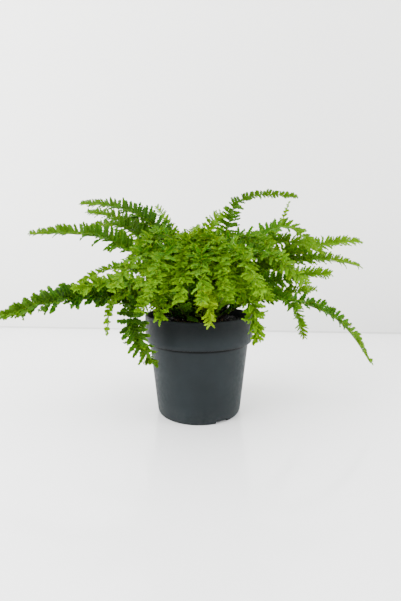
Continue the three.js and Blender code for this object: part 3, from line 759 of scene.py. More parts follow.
# %% Rusty brown crown
def crown_bark():
    """Half dark bark and half rust, each in grains of its own size."""
    material, nodes, link, surface = new_material("rusty_crown", 0.85, 0.3)
    coarse = speckle(nodes, 2.4, 2.6)
    fine = speckle(nodes, 0.6, 2.0)
    bark = blend_colors(nodes, link, coarse.outputs["Mask"], srgb(18, 13, 9), srgb(56, 40, 24))
    rust = blend_colors(nodes, link, fine.outputs["Mask"], srgb(30, 20, 12), srgb(82, 60, 34))
    both = blend_colors(nodes, link, 0.5, bark, rust)
    link(both, surface.inputs["Base Color"])
    bump(nodes, link, fine.outputs["Height"], surface, 0.6, 0.4)
    return material


cover(crown, crown_bark())
print("material", crown.data.materials[0].name)

# %% [markdown]
# ## The fronds
# A frond of this fern is a long midrib with two rows of small leaflets, called pinnae. Each frond
# rises from the crown, passes over a shoulder and runs out to its tip, so its midrib is a chain of
# cubics through a few chosen points: the same table as the solids', in measures about the pot's
# axis. Its face rolls from level at the crown towards the room further out.

# %% The table of fronds
# The radius of each ring of stipes, and how steeply they rise there in degrees.
WHORLS = {"outer": (25.0, 45.0), "middle": (19.0, 62.0), "inner": (13.0, 74.0),
          "centre": (7.0, 82.0)}
SPREAD = 0.6
ROOT_NUDGE = {"tall": -5.0, "right_mid_far": -5.0, "right_high": -10.0, "right_fill": -10.0}
COURSE_TURN = {"right_mid_far": -3.0}

# Each row: name, whorl, shoulder (azimuth, reach, height), tip (azimuth, reach, height), longest
# pinna, fold of the pinnae, roll of the face, colour, and a knee where the frond has one.
NAME, WHORL, AZIMUTH, REACH, HEIGHT, TIP_AZIMUTH, TIP_REACH, TIP_HEIGHT = range(8)
LONGEST, FOLD, ROLL, LEAF, KNEE = range(8, 13)
FRONDS = [
    ("far_left_low", "outer", 195, 101, 132, 190, 203, 111.5, 16.5, 10, 52, "green"),
    ("left_small_drop", "outer", 206, 95, 127, 209, 103, 97, 6.5, 15, 30, "lime"),
    ("left_front_drop", "outer", 226, 87, 121, 236, 72, 68, 15, 12, 8, "green"),
    ("left_rim", "outer", 242, 76, 136, 248, 88, 116, 13, 12, 0, "lime"),
    ("front_lime", "outer", 277, 66, 136, 277, 82, 112, 10.5, 12, 0, "lime"),
    ("right_front_drop", "outer", 296, 92, 141, 298.5, 105, 101, 15, 12, 8, "lime"),
    ("right_hang", "outer", 334, 99, 128, 331, 116, 95, 9.5, 12, 45, "lime"),
    ("right_low", "outer", 343, 103, 136, 339, 124, 140, 12, 18, 40, "lime"),
    ("right_long", "outer", 1, 146, 109, 2, 198, 52, 11.5, 34, 30, "lime"),
    ("back_right_low", "outer", 28, 105, 128, 30, 158, 104, 12, 30, 10, "green"),
    ("back_low_right", "outer", 60, 90, 132, 58, 136, 108, 12, 30, 0, "green"),
    ("back_low", "outer", 95, 88, 130, 98, 131, 114, 12, 30, 0, "green"),
    ("back_low_left", "outer", 128, 90, 134, 124, 142, 117, 12, 30, 0, "green"),
    ("back_left_low", "outer", 160, 100, 134, 162, 156, 122, 12, 30, 20, "green"),
    ("left_broad", "middle", 213, 94, 148, 213, 134, 142, 14.5, 15, 35, "lime"),
    ("left_thin", "middle", 198, 86, 161, 201, 126, 147, 8.5, 25, 40, "lime"),
    ("left_mid", "middle", 162, 65, 160, 161, 107, 158, 13.5, 12, 50, "lime"),
    ("tall", "middle", 10, 37, 223, 11, 113, 241, 13.5, 5, 70, "green", (9, 32, 204)),
    ("right_hump", "middle", 356, 103, 201, 353, 123, 181, 15, 18, 40, "lime"),
    ("right_mid", "middle", 348, 106, 152, 347, 138, 155, 14.5, 14, 50, "lime"),
    ("right_mid_far", "middle", 8, 126, 170, 9, 187, 162, 13.5, 20, 42, "lime"),
    ("front_left_mid", "middle", 234, 72, 176, 238, 130, 145, 14.5, 15, 0, "lime"),
    ("front_mid_left", "middle", 252, 66, 178, 254, 134, 142, 14.5, 15, 0, "lime"),
    ("front_mid", "middle", 272, 64, 174, 271, 128, 138, 14.5, 15, 0, "lime"),
    ("front_mid_right", "middle", 293, 66, 179, 291, 134, 142, 14.5, 15, 0, "lime"),
    ("front_right_mid", "middle", 316, 74, 176, 315, 132, 146, 14.5, 15, 15, "lime"),
    ("back_mid_right", "middle", 35, 90, 160, 33, 146, 151, 12, 30, 15, "lime"),
    ("back_mid_a", "middle", 70, 84, 162, 73, 131, 152, 12, 30, 0, "lime"),
    ("back_mid_b", "middle", 105, 84, 164, 108, 132, 154, 12, 30, 0, "green"),
    ("back_mid_left", "middle", 138, 90, 160, 136, 146, 147, 12, 30, 15, "lime"),
    ("front_low_left", "middle", 240, 62, 153, 238, 98, 124, 14, 15, 0, "lime"),
    ("front_low_right", "middle", 307, 60, 157, 308, 104, 133, 14, 15, 0, "lime"),
    ("left_long", "inner", 177, 90, 187, 176, 190, 198, 16, 26, 42, "green"),
    ("left_back", "inner", 148, 94, 211, 152, 163, 231, 15, 20, 42, "green"),
    ("left_fill", "inner", 162, 90, 208, 161, 141, 208, 14.5, 16, 45, "green"),
    ("right_high", "inner", 9, 132, 184, 10, 193, 191, 14.5, 10, 52, "lime"),
    ("right_fill", "inner", 2, 95, 189, 359, 134, 177, 15, 18, 45, "lime"),
    ("top_back_right", "inner", 34, 85, 198, 35, 121, 204, 12.5, 25, 35, "green"),
    ("front_high_left", "inner", 230, 56, 194, 231, 98, 168, 14.5, 15, 10, "lime"),
    ("front_high_a", "inner", 257, 44, 190, 260, 88, 164, 14.5, 15, 0, "lime"),
    ("front_high_b", "inner", 284, 46, 192, 283, 94, 162, 14.5, 15, 0, "lime"),
    ("front_high_right", "inner", 320, 58, 192, 322, 104, 166, 14.5, 15, 20, "lime"),
    ("front_inner_left", "inner", 262, 52, 166, 262, 114, 136, 14, 15, 0, "lime"),
    ("front_inner_right", "inner", 282, 52, 167, 282, 115, 137, 14, 15, 0, "lime"),
    ("back_high", "inner", 108, 66, 196, 112, 130, 199, 12, 30, 0, "lime"),
    ("top_saddle", "centre", 100, 41, 198, 92, 76, 212, 14, 25, 20, "lime"),
    ("top_left_thin", "centre", 135, 48, 205, 132, 78, 235, 12, 25, 35, "lime"),
    ("left_top", "centre", 160, 78, 223, 163, 148, 236, 14.5, 22, 42, "green"),
    ("tall_thin", "centre", 19, 101, 209, 23, 118, 238, 6, 15, 45, "lime"),
    ("top_broad", "centre", 57, 38, 216, 62, 78, 224, 15, 22, 25, "lime"),
    ("front_top", "centre", 268, 28, 192, 266, 70, 178, 14, 20, 0, "lime"),
]
print("fronds", len(FRONDS))


# %% [markdown]
# On the crown the stipes crowd together and never grow into each other. The solids share them out
# round four rings, and the same rule is worked out here, so that each frond lies on its solid.

# %% Where each stipe stands
def root_azimuths():
    """Stipes of a whorl stand in the order of their shoulders, each a share of the way (SPREAD)
    from its own azimuth to its place in an even spacing round the ring."""
    found = {}
    for whorl in WHORLS:
        rows = sorted((row for row in FRONDS if row[WHORL] == whorl), key=lambda row: row[AZIMUTH])
        own = np.array([row[AZIMUTH] for row in rows], float)
        even = 360.0 / len(rows) * np.arange(len(rows))
        gap = np.radians(own - even)
        first = math.degrees(math.atan2(np.sin(gap).sum(), np.cos(gap).sum()))
        off = (first + even - own + 540) % 360 - 180
        for row, azimuth in zip(rows, own + SPREAD * off):
            found[row[NAME]] = azimuth + ROOT_NUDGE.get(row[NAME], 0.0)
    return found


def polar(azimuth, reach, height):
    """A place from its azimuth in degrees, its reach from the axis and its height."""
    a = math.radians(azimuth)
    return np.array([reach * math.cos(a), reach * math.sin(a), height])


print("stipes in each ring", {ring: sum(row[WHORL] == ring for row in FRONDS) for ring in WHORLS})

# %% Midribs
STEEPEST = 86.0
STEPS_PER_LEG = 81
ROLL_FROM, ROLL_OVER = 4.0, 42.0


def midrib(row, root_azimuth):
    """Cubics (2t^3-3t^2+1) p + (t^3-2t^2+t) run a + (3t^2-2t^3) q + (t^3-t^2) run b through root,
    knee, shoulder and tip. The first direction a is steep, inner ones weigh the legs on both sides
    by their lengths, and the last bends on. Returns the points and the first direction."""
    radius, rise = WHORLS[row[WHORL]]
    root = polar(root_azimuth, radius, float(ground_height(radius)))
    turned = COURSE_TURN.get(row[NAME], 0.0)
    stops = [row[KNEE]] if len(row) > KNEE else []
    stops += [row[AZIMUTH:TIP_AZIMUTH], row[TIP_AZIMUTH:LONGEST]]
    way = np.array([root, *[polar(azimuth + turned, reach, z) for azimuth, reach, z in stops]])
    legs = np.diff(way, axis=0)
    runs = np.linalg.norm(legs, axis=1)
    flat = np.hypot(legs[0, 0], legs[0, 1])
    steeper = math.atan2(legs[0, 2], flat) + 0.04
    climb = min(math.radians(STEEPEST), max(math.radians(rise), steeper))
    start = np.array([legs[0, 0] / flat * math.cos(climb), legs[0, 1] / flat * math.cos(climb),
                      math.sin(climb)])
    tangents = [1.1 * start]
    for i in range(1, len(legs)):
        weighed = legs[i - 1] * runs[i] / runs[i - 1] + legs[i] * runs[i - 1] / runs[i]
        tangents.append(weighed / np.linalg.norm(weighed))
    tangents.append(1.5 * legs[-1] / runs[-1] - 0.5 * tangents[-1])
    t = np.linspace(0, 1, STEPS_PER_LEG)[:, None]
    parts = [(2 * t**3 - 3 * t**2 + 1) * way[i] + (t**3 - 2 * t**2 + t) * runs[i] * tangents[i]
             + (3 * t**2 - 2 * t**3) * way[i + 1] + (t**3 - t**2) * runs[i] * tangents[i + 1]
             for i in range(len(legs))]
    return np.vstack([parts[0], *[part[1:] for part in parts[1:]]]), start


def unit(vectors):
    """Each vector at length one."""
    return vectors / np.linalg.norm(vectors, axis=-1, keepdims=True)


class Rib:
    """A midrib measured by its length: at(s) gives the point and the tangent, side and face there.
    Side is level and square to the tangent, then turned about it by the frond's roll."""

    def __init__(self, row, root_azimuth):
        self.points, self.start = midrib(row, root_azimuth)
        steps = np.linalg.norm(np.diff(self.points, axis=0), axis=1)
        self.run = np.concatenate([[0], np.cumsum(steps)])
        self.length = self.run[-1]
        across = self.points[-1] - self.points[0]
        azimuth = math.atan2(across[1], across[0])
        self.level = np.array([-math.sin(azimuth), math.cos(azimuth), 0.0])
        self.roll = math.radians(row[ROLL]) * (-1 if math.cos(azimuth) < 0 else 1)
        self.tangents = unit(np.gradient(self.points, self.run, axis=0))

    def between(self, s, rows):
        """Rows kept for each midrib point, read off at any length s."""
        return np.stack([np.interp(s, self.run, rows[:, k]) for k in range(3)], -1)

    def at(self, s):
        """Below the foot, where s is under 0, the midrib runs on straight along its start."""
        point = self.between(s, self.points) + np.minimum(s, 0)[:, None] * self.start
        tangent = unit(self.between(s, self.tangents))
        side = unit(self.level - (tangent @ self.level)[:, None] * tangent)
        turn = (self.roll * np.clip((s - ROLL_FROM) / ROLL_OVER, 0, 1))[:, None]
        side = side * np.cos(turn) + np.cross(tangent, side) * np.sin(turn)
        return point, tangent, side, np.cross(tangent, side)


ROOTS = root_azimuths()
RIBS = {row[NAME]: Rib(row, ROOTS[row[NAME]]) for row in FRONDS}
print("midrib lengths", {name: round(rib.length) for name, rib in list(RIBS.items())[:6]}, "mm")

# %% [markdown]
# A midrib is drawn as a six-sided tube that thins towards the tip. Its foot runs on into the crown.

# %% Midrib tube
STIPE_DEPTH = 6.0
TUBE_SIDES = 6
RING_SPACING = 4.0
FEWEST_RINGS = 14
TIP_RADIUS, FOOT_EXTRA = 0.36, 0.5


def tube(rib, stoutness):
    """Corner k of ring i is point_i + r_i (cos k side_i + sin k face_i), r from 0.86 mm at the foot
    to 0.36 mm at the tip, times the frond's stoutness. Both ends close to a point."""
    rings = max(FEWEST_RINGS, int(rib.length / RING_SPACING))
    s = np.linspace(-STIPE_DEPTH, rib.length, rings)
    u = np.clip(s / rib.length, 0, 1)
    centre, tangent, side, face = rib.at(s)
    radius = stoutness * (TIP_RADIUS + FOOT_EXTRA * (1 - u) ** 1.3)
    way = np.linspace(0, 2 * np.pi, TUBE_SIDES, endpoint=False)
    ring = np.cos(way)[:, None] * side[:, None] + np.sin(way)[:, None] * face[:, None]
    grid = centre[:, None] + radius[:, None, None] * ring
    quads = ring_quads(rings, TUBE_SIDES, False).reshape(-1, 4)
    ends = np.array([centre[0] - 0.3 * tangent[0], centre[-1] + 0.3 * tangent[-1]])
    low, high = rings * TUBE_SIDES, rings * TUBE_SIDES + 1
    k = np.arange(TUBE_SIDES)
    k2 = (k + 1) % TUBE_SIDES
    last = (rings - 1) * TUBE_SIDES
    caps = np.vstack([np.stack([k2, k, np.full(TUBE_SIDES, low)], -1),
                      np.stack([last + k, last + k2, np.full(TUBE_SIDES, high)], -1)])
    points = np.vstack([grid.reshape(-1, 3), ends])
    along = np.concatenate([np.repeat(u, TUBE_SIDES), [0, 1]])
    return points, quads, caps, along


print("points of the tall frond's tube", len(tube(RIBS["tall"], 1.0)[0]))

# %% [markdown]
# ## One leaflet
# A pinna is a short tongue with a narrow foot, an ear on the side that faces the frond's tip, a
# scalloped margin and a round end. It is modelled as a thin lens: two margins, and a middle line on
# its upper and its lower skin, so that four lines of points run from foot to end. The margins stand
# up from the middle, wave, and the whole blade curls. All pinnae of a frond are worked out at once.

# %% Outline of a pinna
# Places of the rows of points from foot to end, and how far the margin stands out at each.
PINNA_ROWS = np.array([0.0, 0.06, 0.14, 0.23, 0.33, 0.43, 0.53, 0.63, 0.73, 0.83, 0.92, 0.98])
TOOTH = np.array([1.0, 1.0, 1.16, 0.76, 1.16, 0.74, 1.16, 0.74, 1.16, 0.76, 1.1, 1.0])


def half_width(s, ear):
    """Narrow foot (square root of s over the first 14%), slow taper by a fifth, an ear added as a
    bell curve at 16%, an elliptic end over the last 35%, and teeth on every second row."""
    foot = 0.22 + 0.78 * np.sqrt(np.clip(s / 0.14, 0, 1))
    end = np.sqrt(np.clip(1 - (np.clip(s - 0.65, 0, 1) / 0.37) ** 2, 0, 1))
    bell = ear * np.exp(-(((s - 0.16) / 0.1) ** 2))
    return (foot * (1 - 0.2 * s) + bell) * end * TOOTH


def ramp(x):
    """Smooth step: 3x^2 - 2x^3 of x held between 0 and 1."""
    x = np.clip(x, 0, 1)
    return x * x * (3 - 2 * x)


def length_share(u, base, taper, begin, finish):
    """How long pinnae are along the leafy part: a base share at first, full from three tenths on,
    losing the taper's share between begin and finish and some more at the very tip."""
    rising = base + (1 - base) * ramp(u / 0.28)
    falling = 1 - taper * ramp((u - begin) / (finish - begin))
    tip = 1 - 0.3 * ramp((u - 0.9) / 0.1)
    return rising * falling * tip


print("a pinna is widest at", PINNA_ROWS[np.argmax(half_width(PINNA_ROWS, 0.3))], "of its length")

# %% Places of the pinnae along a midrib
LEAFY_START = 12.0
YOUNG_BELOW = 9.0
LONG_FROND = 170.0
USUAL_SHRINK = 0.36

# Some fronds differ. BLUNT ones keep more length at the tip. TAPERS gives the share of length lost
# and where, BUTTONED how much the spacing shrinks, BROAD and LUSH scale the pinnae's width and
# length, COARSE their spacing, and STOUT the midrib.
BLUNT = ("right_front_drop", "right_hang", "front_lime")
TAPERS = {"tall": (0.56, 0.46, 0.72), "left_front_drop": (0.7, 0.78, 1.0),
          "right_long": (0.4, 0.5, 1.0), "far_left_low": (0.35, 0.62, 1.0)}
BUTTONED = {"tall": 0.1, "tall_thin": 0.0, "right_long": 0.15}
BROAD = {"far_left_low": 1.5, "left_front_drop": 1.6, "left_rim": 1.4, "left_broad": 1.15,
         "right_front_drop": 1.5, "front_lime": 1.2, "tall": 0.85, "right_long": 1.2,
         "top_left_thin": 0.9, "tall_thin": 0.6}
LUSH = {"tall_thin": 1.2, "left_top": 1.15, "left_back": 1.15, "left_fill": 1.15, "left_long": 1.1,
        "right_high": 1.15, "right_mid_far": 1.1, "right_long": 1.2, "left_rim": 1.2}
COARSE = {"right_long": 1.5, "right_front_drop": 0.8, "tall": 1.2, "top_left_thin": 1.5,
          "top_saddle": 1.3, "top_broad": 1.2}
STOUT = {"tall_thin": 1.6, "right_long": 1.6, "tall": 1.2, "left_small_drop": 1.5}


def taper_of(name, length):
    """Share of length lost, and where along the frond the loss begins and ends."""
    if name in TAPERS:
        return TAPERS[name]
    share = 0.3 if name in BLUNT else 0.5 if length > LONG_FROND else 0.44
    return share, 0.48, 1.0


def stations(rib, start, longest, shrink, fineness, rng):
    """Distances along the midrib: the spacing shrinks by a share towards the tip, so distances are
    read off the summed spacing curve. Left and right alternate by half a step."""
    pitch = 13.0 - 1.2 * longest if longest < YOUNG_BELOW else (0.6 + 0.165 * longest) * fineness
    samples = 200
    u = np.linspace(0, 1, samples)
    density = 1 / (1 - shrink * ramp((u - 0.45) / 0.55))
    total = np.concatenate([[0], np.cumsum((density[1:] + density[:-1]) / 2)])
    count = int((rib.length - start) / pitch * total[-1] / (samples - 1))
    steps = np.interp((np.arange(count) + 0.5) / count, total / total[-1], u)
    half = 0.5 / count
    both = np.concatenate([steps - half / 2, steps + half / 2])
    sign = np.repeat([1.0, -1.0], count)
    both = both + rng.normal(0, 0.12 / count, 2 * count)
    local = pitch * (1 - shrink * ramp((both - 0.45) / 0.55))
    return np.clip(both, 0, 0.995), sign, local


print("fronds with a taper of their own", sorted(TAPERS))

# %% All pinnae of one frond
BLADE = 0.32
RIPPLE, RIPPLE_TURN = 0.36, 19
POINTS_PER_PINNA = 4 * len(PINNA_ROWS) + 2


def pinna_faces(count):
    """Faces of one lens, repeated: strips between neighbouring rows on both skins, and a fan of
    four triangles at the foot and at the end. Order in a row: margin, top, margin, bottom."""
    rows = len(PINNA_ROWS)
    i, j = np.meshgrid(np.arange(rows - 1), np.arange(4), indexing="ij")
    j2 = (j + 1) % 4
    quads = np.stack([4 * i + j, 4 * i + 4 + j, 4 * i + 4 + j2, 4 * i + j2], -1).reshape(-1, 4)
    k = np.arange(4)
    k2 = (k + 1) % 4
    last = 4 * (rows - 1)
    fans = np.vstack([np.stack([k, k2, np.full(4, 4 * rows)], -1),
                      np.stack([last + k2, last + k, np.full(4, 4 * rows + 1)], -1)])
    shift = POINTS_PER_PINNA * np.arange(count)[:, None, None]
    return (quads + shift).reshape(-1, 4), (fans + shift).reshape(-1, 3)


def facing_room(row):
    """0 for fronds that run sideways or back, up to 1 for those that run towards the front."""
    towards = 0.5 - 0.5 * math.sin(math.radians(row[AZIMUTH]))
    return float(ramp((towards - 0.6) / 0.3))


def column(values):
    """A row of numbers as a column, ready to scale vectors."""
    return values[:, None]


def pinna_frames(u, sign, fold, unruly, along_rib, rng):
    """Three unit vectors for each pinna: out along it, across it and off its upper skin. They are
    the midrib's side and face, folded up, leaned forward and twisted, each partly at random."""
    tangent, side, face = along_rib
    count = len(u)
    lean = np.radians(8 + 28 * u ** 2 + unruly * rng.normal(0, 9, count))
    lift = fold + np.radians(unruly * rng.normal(0, 15, count))
    twist = np.radians(12 + unruly * rng.normal(0, 20, count)) * sign
    out = column(np.cos(lift) * sign) * side + column(np.sin(lift)) * face
    out = unit(column(np.cos(lean)) * out + column(np.sin(lean)) * tangent)
    normal = unit(face - (face * out).sum(1, keepdims=True) * out)
    normal = unit(column(np.cos(twist)) * normal + column(np.sin(twist)) * np.cross(out, normal))
    return np.stack([out, np.cross(normal, out), normal], 1)


def blade_points(length, width, sign, rng):
    """Points of every lens in its own frame: x = L s, y = sweep L s^2 +/- w(s), z = curl L s^2, and
    the margins lie cup w(s) + wave higher. A point before the foot and one at the end close it."""
    count = len(length)
    length, width, forward = column(length), column(width), -column(sign)
    s = PINNA_ROWS[None]
    ear = rng.uniform(0.15, 0.4, (count, 1))
    wide_a = width * half_width(s, np.where(forward < 0, ear, 0.05))
    wide_b = width * half_width(s, np.where(forward > 0, ear, 0.05))
    sweep = forward * rng.uniform(0.02, 0.14, (count, 1)) * length * s ** 2
    curl = rng.normal(-0.14, 0.2, (count, 1)) * length * s ** 2
    cup = rng.uniform(0.2, 0.9, (count, 1))
    phase = rng.uniform(0, 6.28, (count, 2, 1))
    ripple = RIPPLE * width * ramp(s / 0.3)
    wave_a = ripple * np.sin(RIPPLE_TURN * s + phase[:, 0])
    wave_b = ripple * np.sin(RIPPLE_TURN * s + phase[:, 1])
    thick = 0.5 * BLADE * np.sqrt(np.clip(1.05 - s, 0, 1)) * np.ones((count, 1))
    local = np.empty((count, len(PINNA_ROWS), 4, 3))
    local[..., 0] = (length * s)[..., None]
    local[..., 1] = np.stack([sweep - wide_a, sweep, sweep + wide_b, sweep], -1)
    local[..., 2] = np.stack([curl + cup * wide_a + wave_a, curl + thick,
                              curl + cup * wide_b + wave_b, curl - thick], -1)
    ends = np.zeros((count, 2, 3))
    ends[:, 0, 0] = -0.3
    ends[:, 1] = local[:, -1, 1]
    ends[:, 1, 0] = length[:, 0]
    ends[:, 1, 2] -= thick[:, -1]
    return np.concatenate([local.reshape(count, -1, 3), ends], 1)


def pinnae(rib, row, rng):
    """All pinnae of a frond: sizes from its row and the tables above, set into frames along its
    midrib. Returns their points, how far along each one stands, and how many there are."""
    name, young = row[NAME], row[LONGEST] < YOUNG_BELOW
    longest = row[LONGEST] * LUSH.get(name, 1.0)
    frontal = facing_room(row)
    overhead = float(ramp((row[HEIGHT] - 190) / 40))

    # Towards the front, leaves start nearer the foot, are less regular and fold up more.
    start = LEAFY_START - 6 * frontal
    unruly = 0.6 + 1.1 * frontal
    rolled = 0.9 * max(row[ROLL] - 28, 0) * (1 - 0.6 * overhead)
    fold = math.radians(row[FOLD] + 18 * frontal + rolled)
    shrink, fineness = BUTTONED.get(name, USUAL_SHRINK), COARSE.get(name, 1.0)
    u, sign, pitch = stations(rib, start, row[LONGEST], shrink, fineness, rng)
    count = len(u)
    s_rib = start + (rib.length - start) * u
    foot, tangent, side, face = rib.at(s_rib)
    base = 0.9 if young else 0.6 + 0.15 * frontal
    share = length_share(u, base, *taper_of(name, rib.length))
    length = longest * (1.1 if young else 1.0) * share * rng.uniform(0.86, 1.12, count)
    spread = (0.78 - 0.16 * frontal) * BROAD.get(name, 1.0) * pitch / fineness
    outer_end = (1 - frontal) * ramp((u - 0.5) / 0.35)
    spread *= 1 + (0.06 if name in BUTTONED else -0.14) * outer_end
    roundest = 0.5 if young else 0.46 + 0.3 * outer_end
    width = np.minimum(spread, roundest * length) * rng.uniform(0.9, 1.14, count)
    frames = pinna_frames(u, sign, fold, unruly, (tangent, side, face), rng)
    points = foot[:, None] + blade_points(length, width, sign, rng) @ frames
    return points, u, count


print("points of one pinna", POINTS_PER_PINNA)

# %% [markdown]
# Colour changes in three ways: from frond to frond, older ones being darker; along a frond, the
# young tip being yellower; and from leaflet to leaflet. Each point carries those as attributes, and
# its UV says where it lies on its leaflet: u from foot to end, v across it.

# %% One frond as a piece
YOUNGER = {"front_lime": 3.0, "right_front_drop": 1.0, "front_inner_left": 0.6,
           "left_small_drop": 1.2, "tall_thin": 1.0, "left_broad": 0.4, "top_broad": 0.8}


def strand(row, rib, rng):
    """One stipe with its pinnae as arrays. Faces of the midrib are marked, and every point carries
    how far along the frond it is and a random shade of its own leaflet."""
    tube_points, tube_quads, tube_caps, tube_along = tube(rib, STOUT.get(row[NAME], 1.0))
    leaf_points, u, count = pinnae(rib, row, rng)
    quads, fans = pinna_faces(count)
    shift = len(tube_points)
    s = np.concatenate([np.repeat(PINNA_ROWS, 4), [0, 1]])
    v = np.concatenate([np.tile([0, 0.5, 1, 0.5], len(PINNA_ROWS)), [0.5, 0.5]])
    leaf_uv = np.tile(np.stack([s, v], -1), (count, 1))
    shades = np.repeat(rng.uniform(0, 1, count), POINTS_PER_PINNA)
    age = rng.uniform(0, 1) + YOUNGER.get(row[NAME], 0.0)
    points = np.vstack([tube_points, leaf_points.reshape(-1, 3)])
    return {
        "points": points,
        "quads": np.vstack([tube_quads, quads + shift]),
        "triangles": np.vstack([tube_caps, fans + shift]),
        "quad_is_rib": np.arange(len(tube_quads) + len(quads)) < len(tube_quads),
        "triangle_is_rib": np.arange(len(tube_caps) + len(fans)) < len(tube_caps),
        "uv": np.vstack([np.stack([tube_along, np.full(shift, 0.5)], -1), leaf_uv]),
        "along": np.concatenate([tube_along, np.repeat(u, POINTS_PER_PINNA)]),
        "shade": np.concatenate([np.full(shift, 0.5), shades]),
        "age": np.full(len(points), age),
        "pinnae": count,
    }


ASIDE = 8.0
ROOT_SHARE = 0.8
CLOSER, TIP_CLOSER = 0.88, 0.84
LEAF_CREASE = 75.0


def companion(row, aside):
    """A shorter frond close beside another: turned by aside degrees, a little closer in and less
    drooping, with smaller pinnae."""
    name, whorl, azimuth, reach, height, tip_azimuth, tip_reach, tip_height = row[:LONGEST]
    longest, fold, roll, leaf = row[LONGEST:KNEE]
    return (name, whorl, azimuth + aside, reach * CLOSER, height - 2,
            tip_azimuth + 1.3 * aside, tip_reach * TIP_CLOSER, tip_height + 5,
            longest * CLOSER, fold + 4, roll, leaf)


def has_companion(row):
    """True in the crowded front, for fronds that stand further in than the outer ring."""
    return row[WHORL] != "outer" and facing_room(row) > 0.5


def build_frond(index, row, leaf_material, rib_material):
    """A frond as one piece, with its companion where it has one, beside it on one side or on the
    other in turn."""
    rng = np.random.default_rng(100 + index)
    strands = [strand(row, RIBS[row[NAME]], rng)]
    if has_companion(row):
        aside = ASIDE if index % 2 else -ASIDE
        beside = companion(row, aside)
        strands.append(strand(beside, Rib(beside, ROOTS[row[NAME]] + ROOT_SHARE * aside), rng))
    starts = np.cumsum([0] + [len(part["points"]) for part in strands[:-1]])

    def gather(key):
        return np.concatenate([part[key] for part in strands])

    def shifted(key):
        return np.vstack([part[key] + first for part, first in zip(strands, starts)])

    thing = mesh_from_arrays("leafy_" + row[NAME], gather("points"), shifted("quads"),
                             shifted("triangles"))
    give_uv(thing, gather("uv"))
    for name in ("along", "shade", "age"):
        give_attribute(thing, name, gather(name))
    thing.data.materials.append(leaf_material)
    thing.data.materials.append(rib_material)
    which = np.concatenate([gather("quad_is_rib"), gather("triangle_is_rib")]).astype(np.int32)
    thing.data.polygons.foreach_set("material_index", which)
    thing.data.set_sharp_from_angle(angle=math.radians(LEAF_CREASE))
    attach(thing, "root")
    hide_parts("frond_" + row[NAME])
    return sum(part["pinnae"] for part in strands), len(thing.data.polygons)


print("fronds with a companion", sum(has_companion(row) for row in FRONDS))

# %% [markdown]
# A leaflet has a paler middle vein, fainter side veins that slant and a lighter margin, partly its
# own colour and partly a painted highlight. They are drawn from the leaflet's own UV, which bends
# with it, in a group that both leaf colours share.

# %% The shared leaf pattern
def build_leaf_group():
    """From a leaflet's UV: Vein is 1 on the middle vein and fainter on slanting side veins, Margin
    is 1 at the edge and the end, Mottle is soft noise."""
    tree = bpy.data.node_groups.new("leaf_pattern", "ShaderNodeTree")
    for name, value in (("Vein Width", 0.05), ("Side Veins", 9.0), ("Mottle Size", 2.0)):
        socket = tree.interface.new_socket(name, in_out="INPUT", socket_type="NodeSocketFloat")
        socket.default_value = value
    for name in ("Vein", "Margin", "Mottle"):
        tree.interface.new_socket(name, in_out="OUTPUT", socket_type="NodeSocketFloat")
    nodes, link = tree.nodes, tree.links.new
    inlet, outlet = nodes.new("NodeGroupInput"), nodes.new("NodeGroupOutput")
    place = nodes.new("ShaderNodeTexCoord")
    split = nodes.new("ShaderNodeSeparateXYZ")
    link(place.outputs["UV"], split.inputs[0])
    s, v = split.outputs["X"], split.outputs["Y"]
    centred = math_node(nodes, link, "SUBTRACT", v, 0.5)
    aside = math_node(nodes, link, "ABSOLUTE", centred)
    middle = math_node(nodes, link, "DIVIDE", aside, inlet.outputs["Vein Width"])
    middle = math_node(nodes, link, "SUBTRACT", 1.0, middle, clamp=True)
    slant = math_node(nodes, link, "SUBTRACT", s, math_node(nodes, link, "MULTIPLY", aside, 0.35))
    turns = math_node(nodes, link, "MULTIPLY", slant, inlet.outputs["Side Veins"])
    comb = math_node(nodes, link, "PINGPONG", turns, 0.5)
    comb = math_node(nodes, link, "MULTIPLY_ADD", comb, -5.0, 1.0, clamp=True)
    comb = math_node(nodes, link, "MULTIPLY", comb, 0.45)
    link(math_node(nodes, link, "MAXIMUM", middle, comb), outlet.inputs["Vein"])
    edge = math_node(nodes, link, "MULTIPLY_ADD", aside, 5.0, -1.6, clamp=True)
    end = math_node(nodes, link, "MULTIPLY_ADD", s, 5.0, -4.0, clamp=True)
    link(math_node(nodes, link, "MAXIMUM", edge, end), outlet.inputs["Margin"])
    grain = nodes.new("ShaderNodeGroup")
    grain.node_tree = SPECKLE
    grain.inputs["Contrast"].default_value = 2.0
    link(inlet.outputs["Mottle Size"], grain.inputs["Grain Size"])
    link(grain.outputs["Mask"], outlet.inputs["Mottle"])
    return tree


LEAF_PATTERN = build_leaf_group()


print("group", LEAF_PATTERN.name, [item.name for item in LEAF_PATTERN.interface.items_tree])

# %% [markdown]
# A fern leaf is a thin skin over soft tissue: hardly shiny, and light passes a little way into it,
# which a low subsurface weight gives. Older fronds are deep green and younger ones lime, so there
# are two leaf materials, and two for midribs, which are brown at the foot and green further up.

# %% Leaf materials
def attribute(nodes, name):
    """A number stored with the points, as a socket."""
    node = nodes.new("ShaderNodeAttribute")
    node.attribute_name = name
    return node.outputs["Fac"]


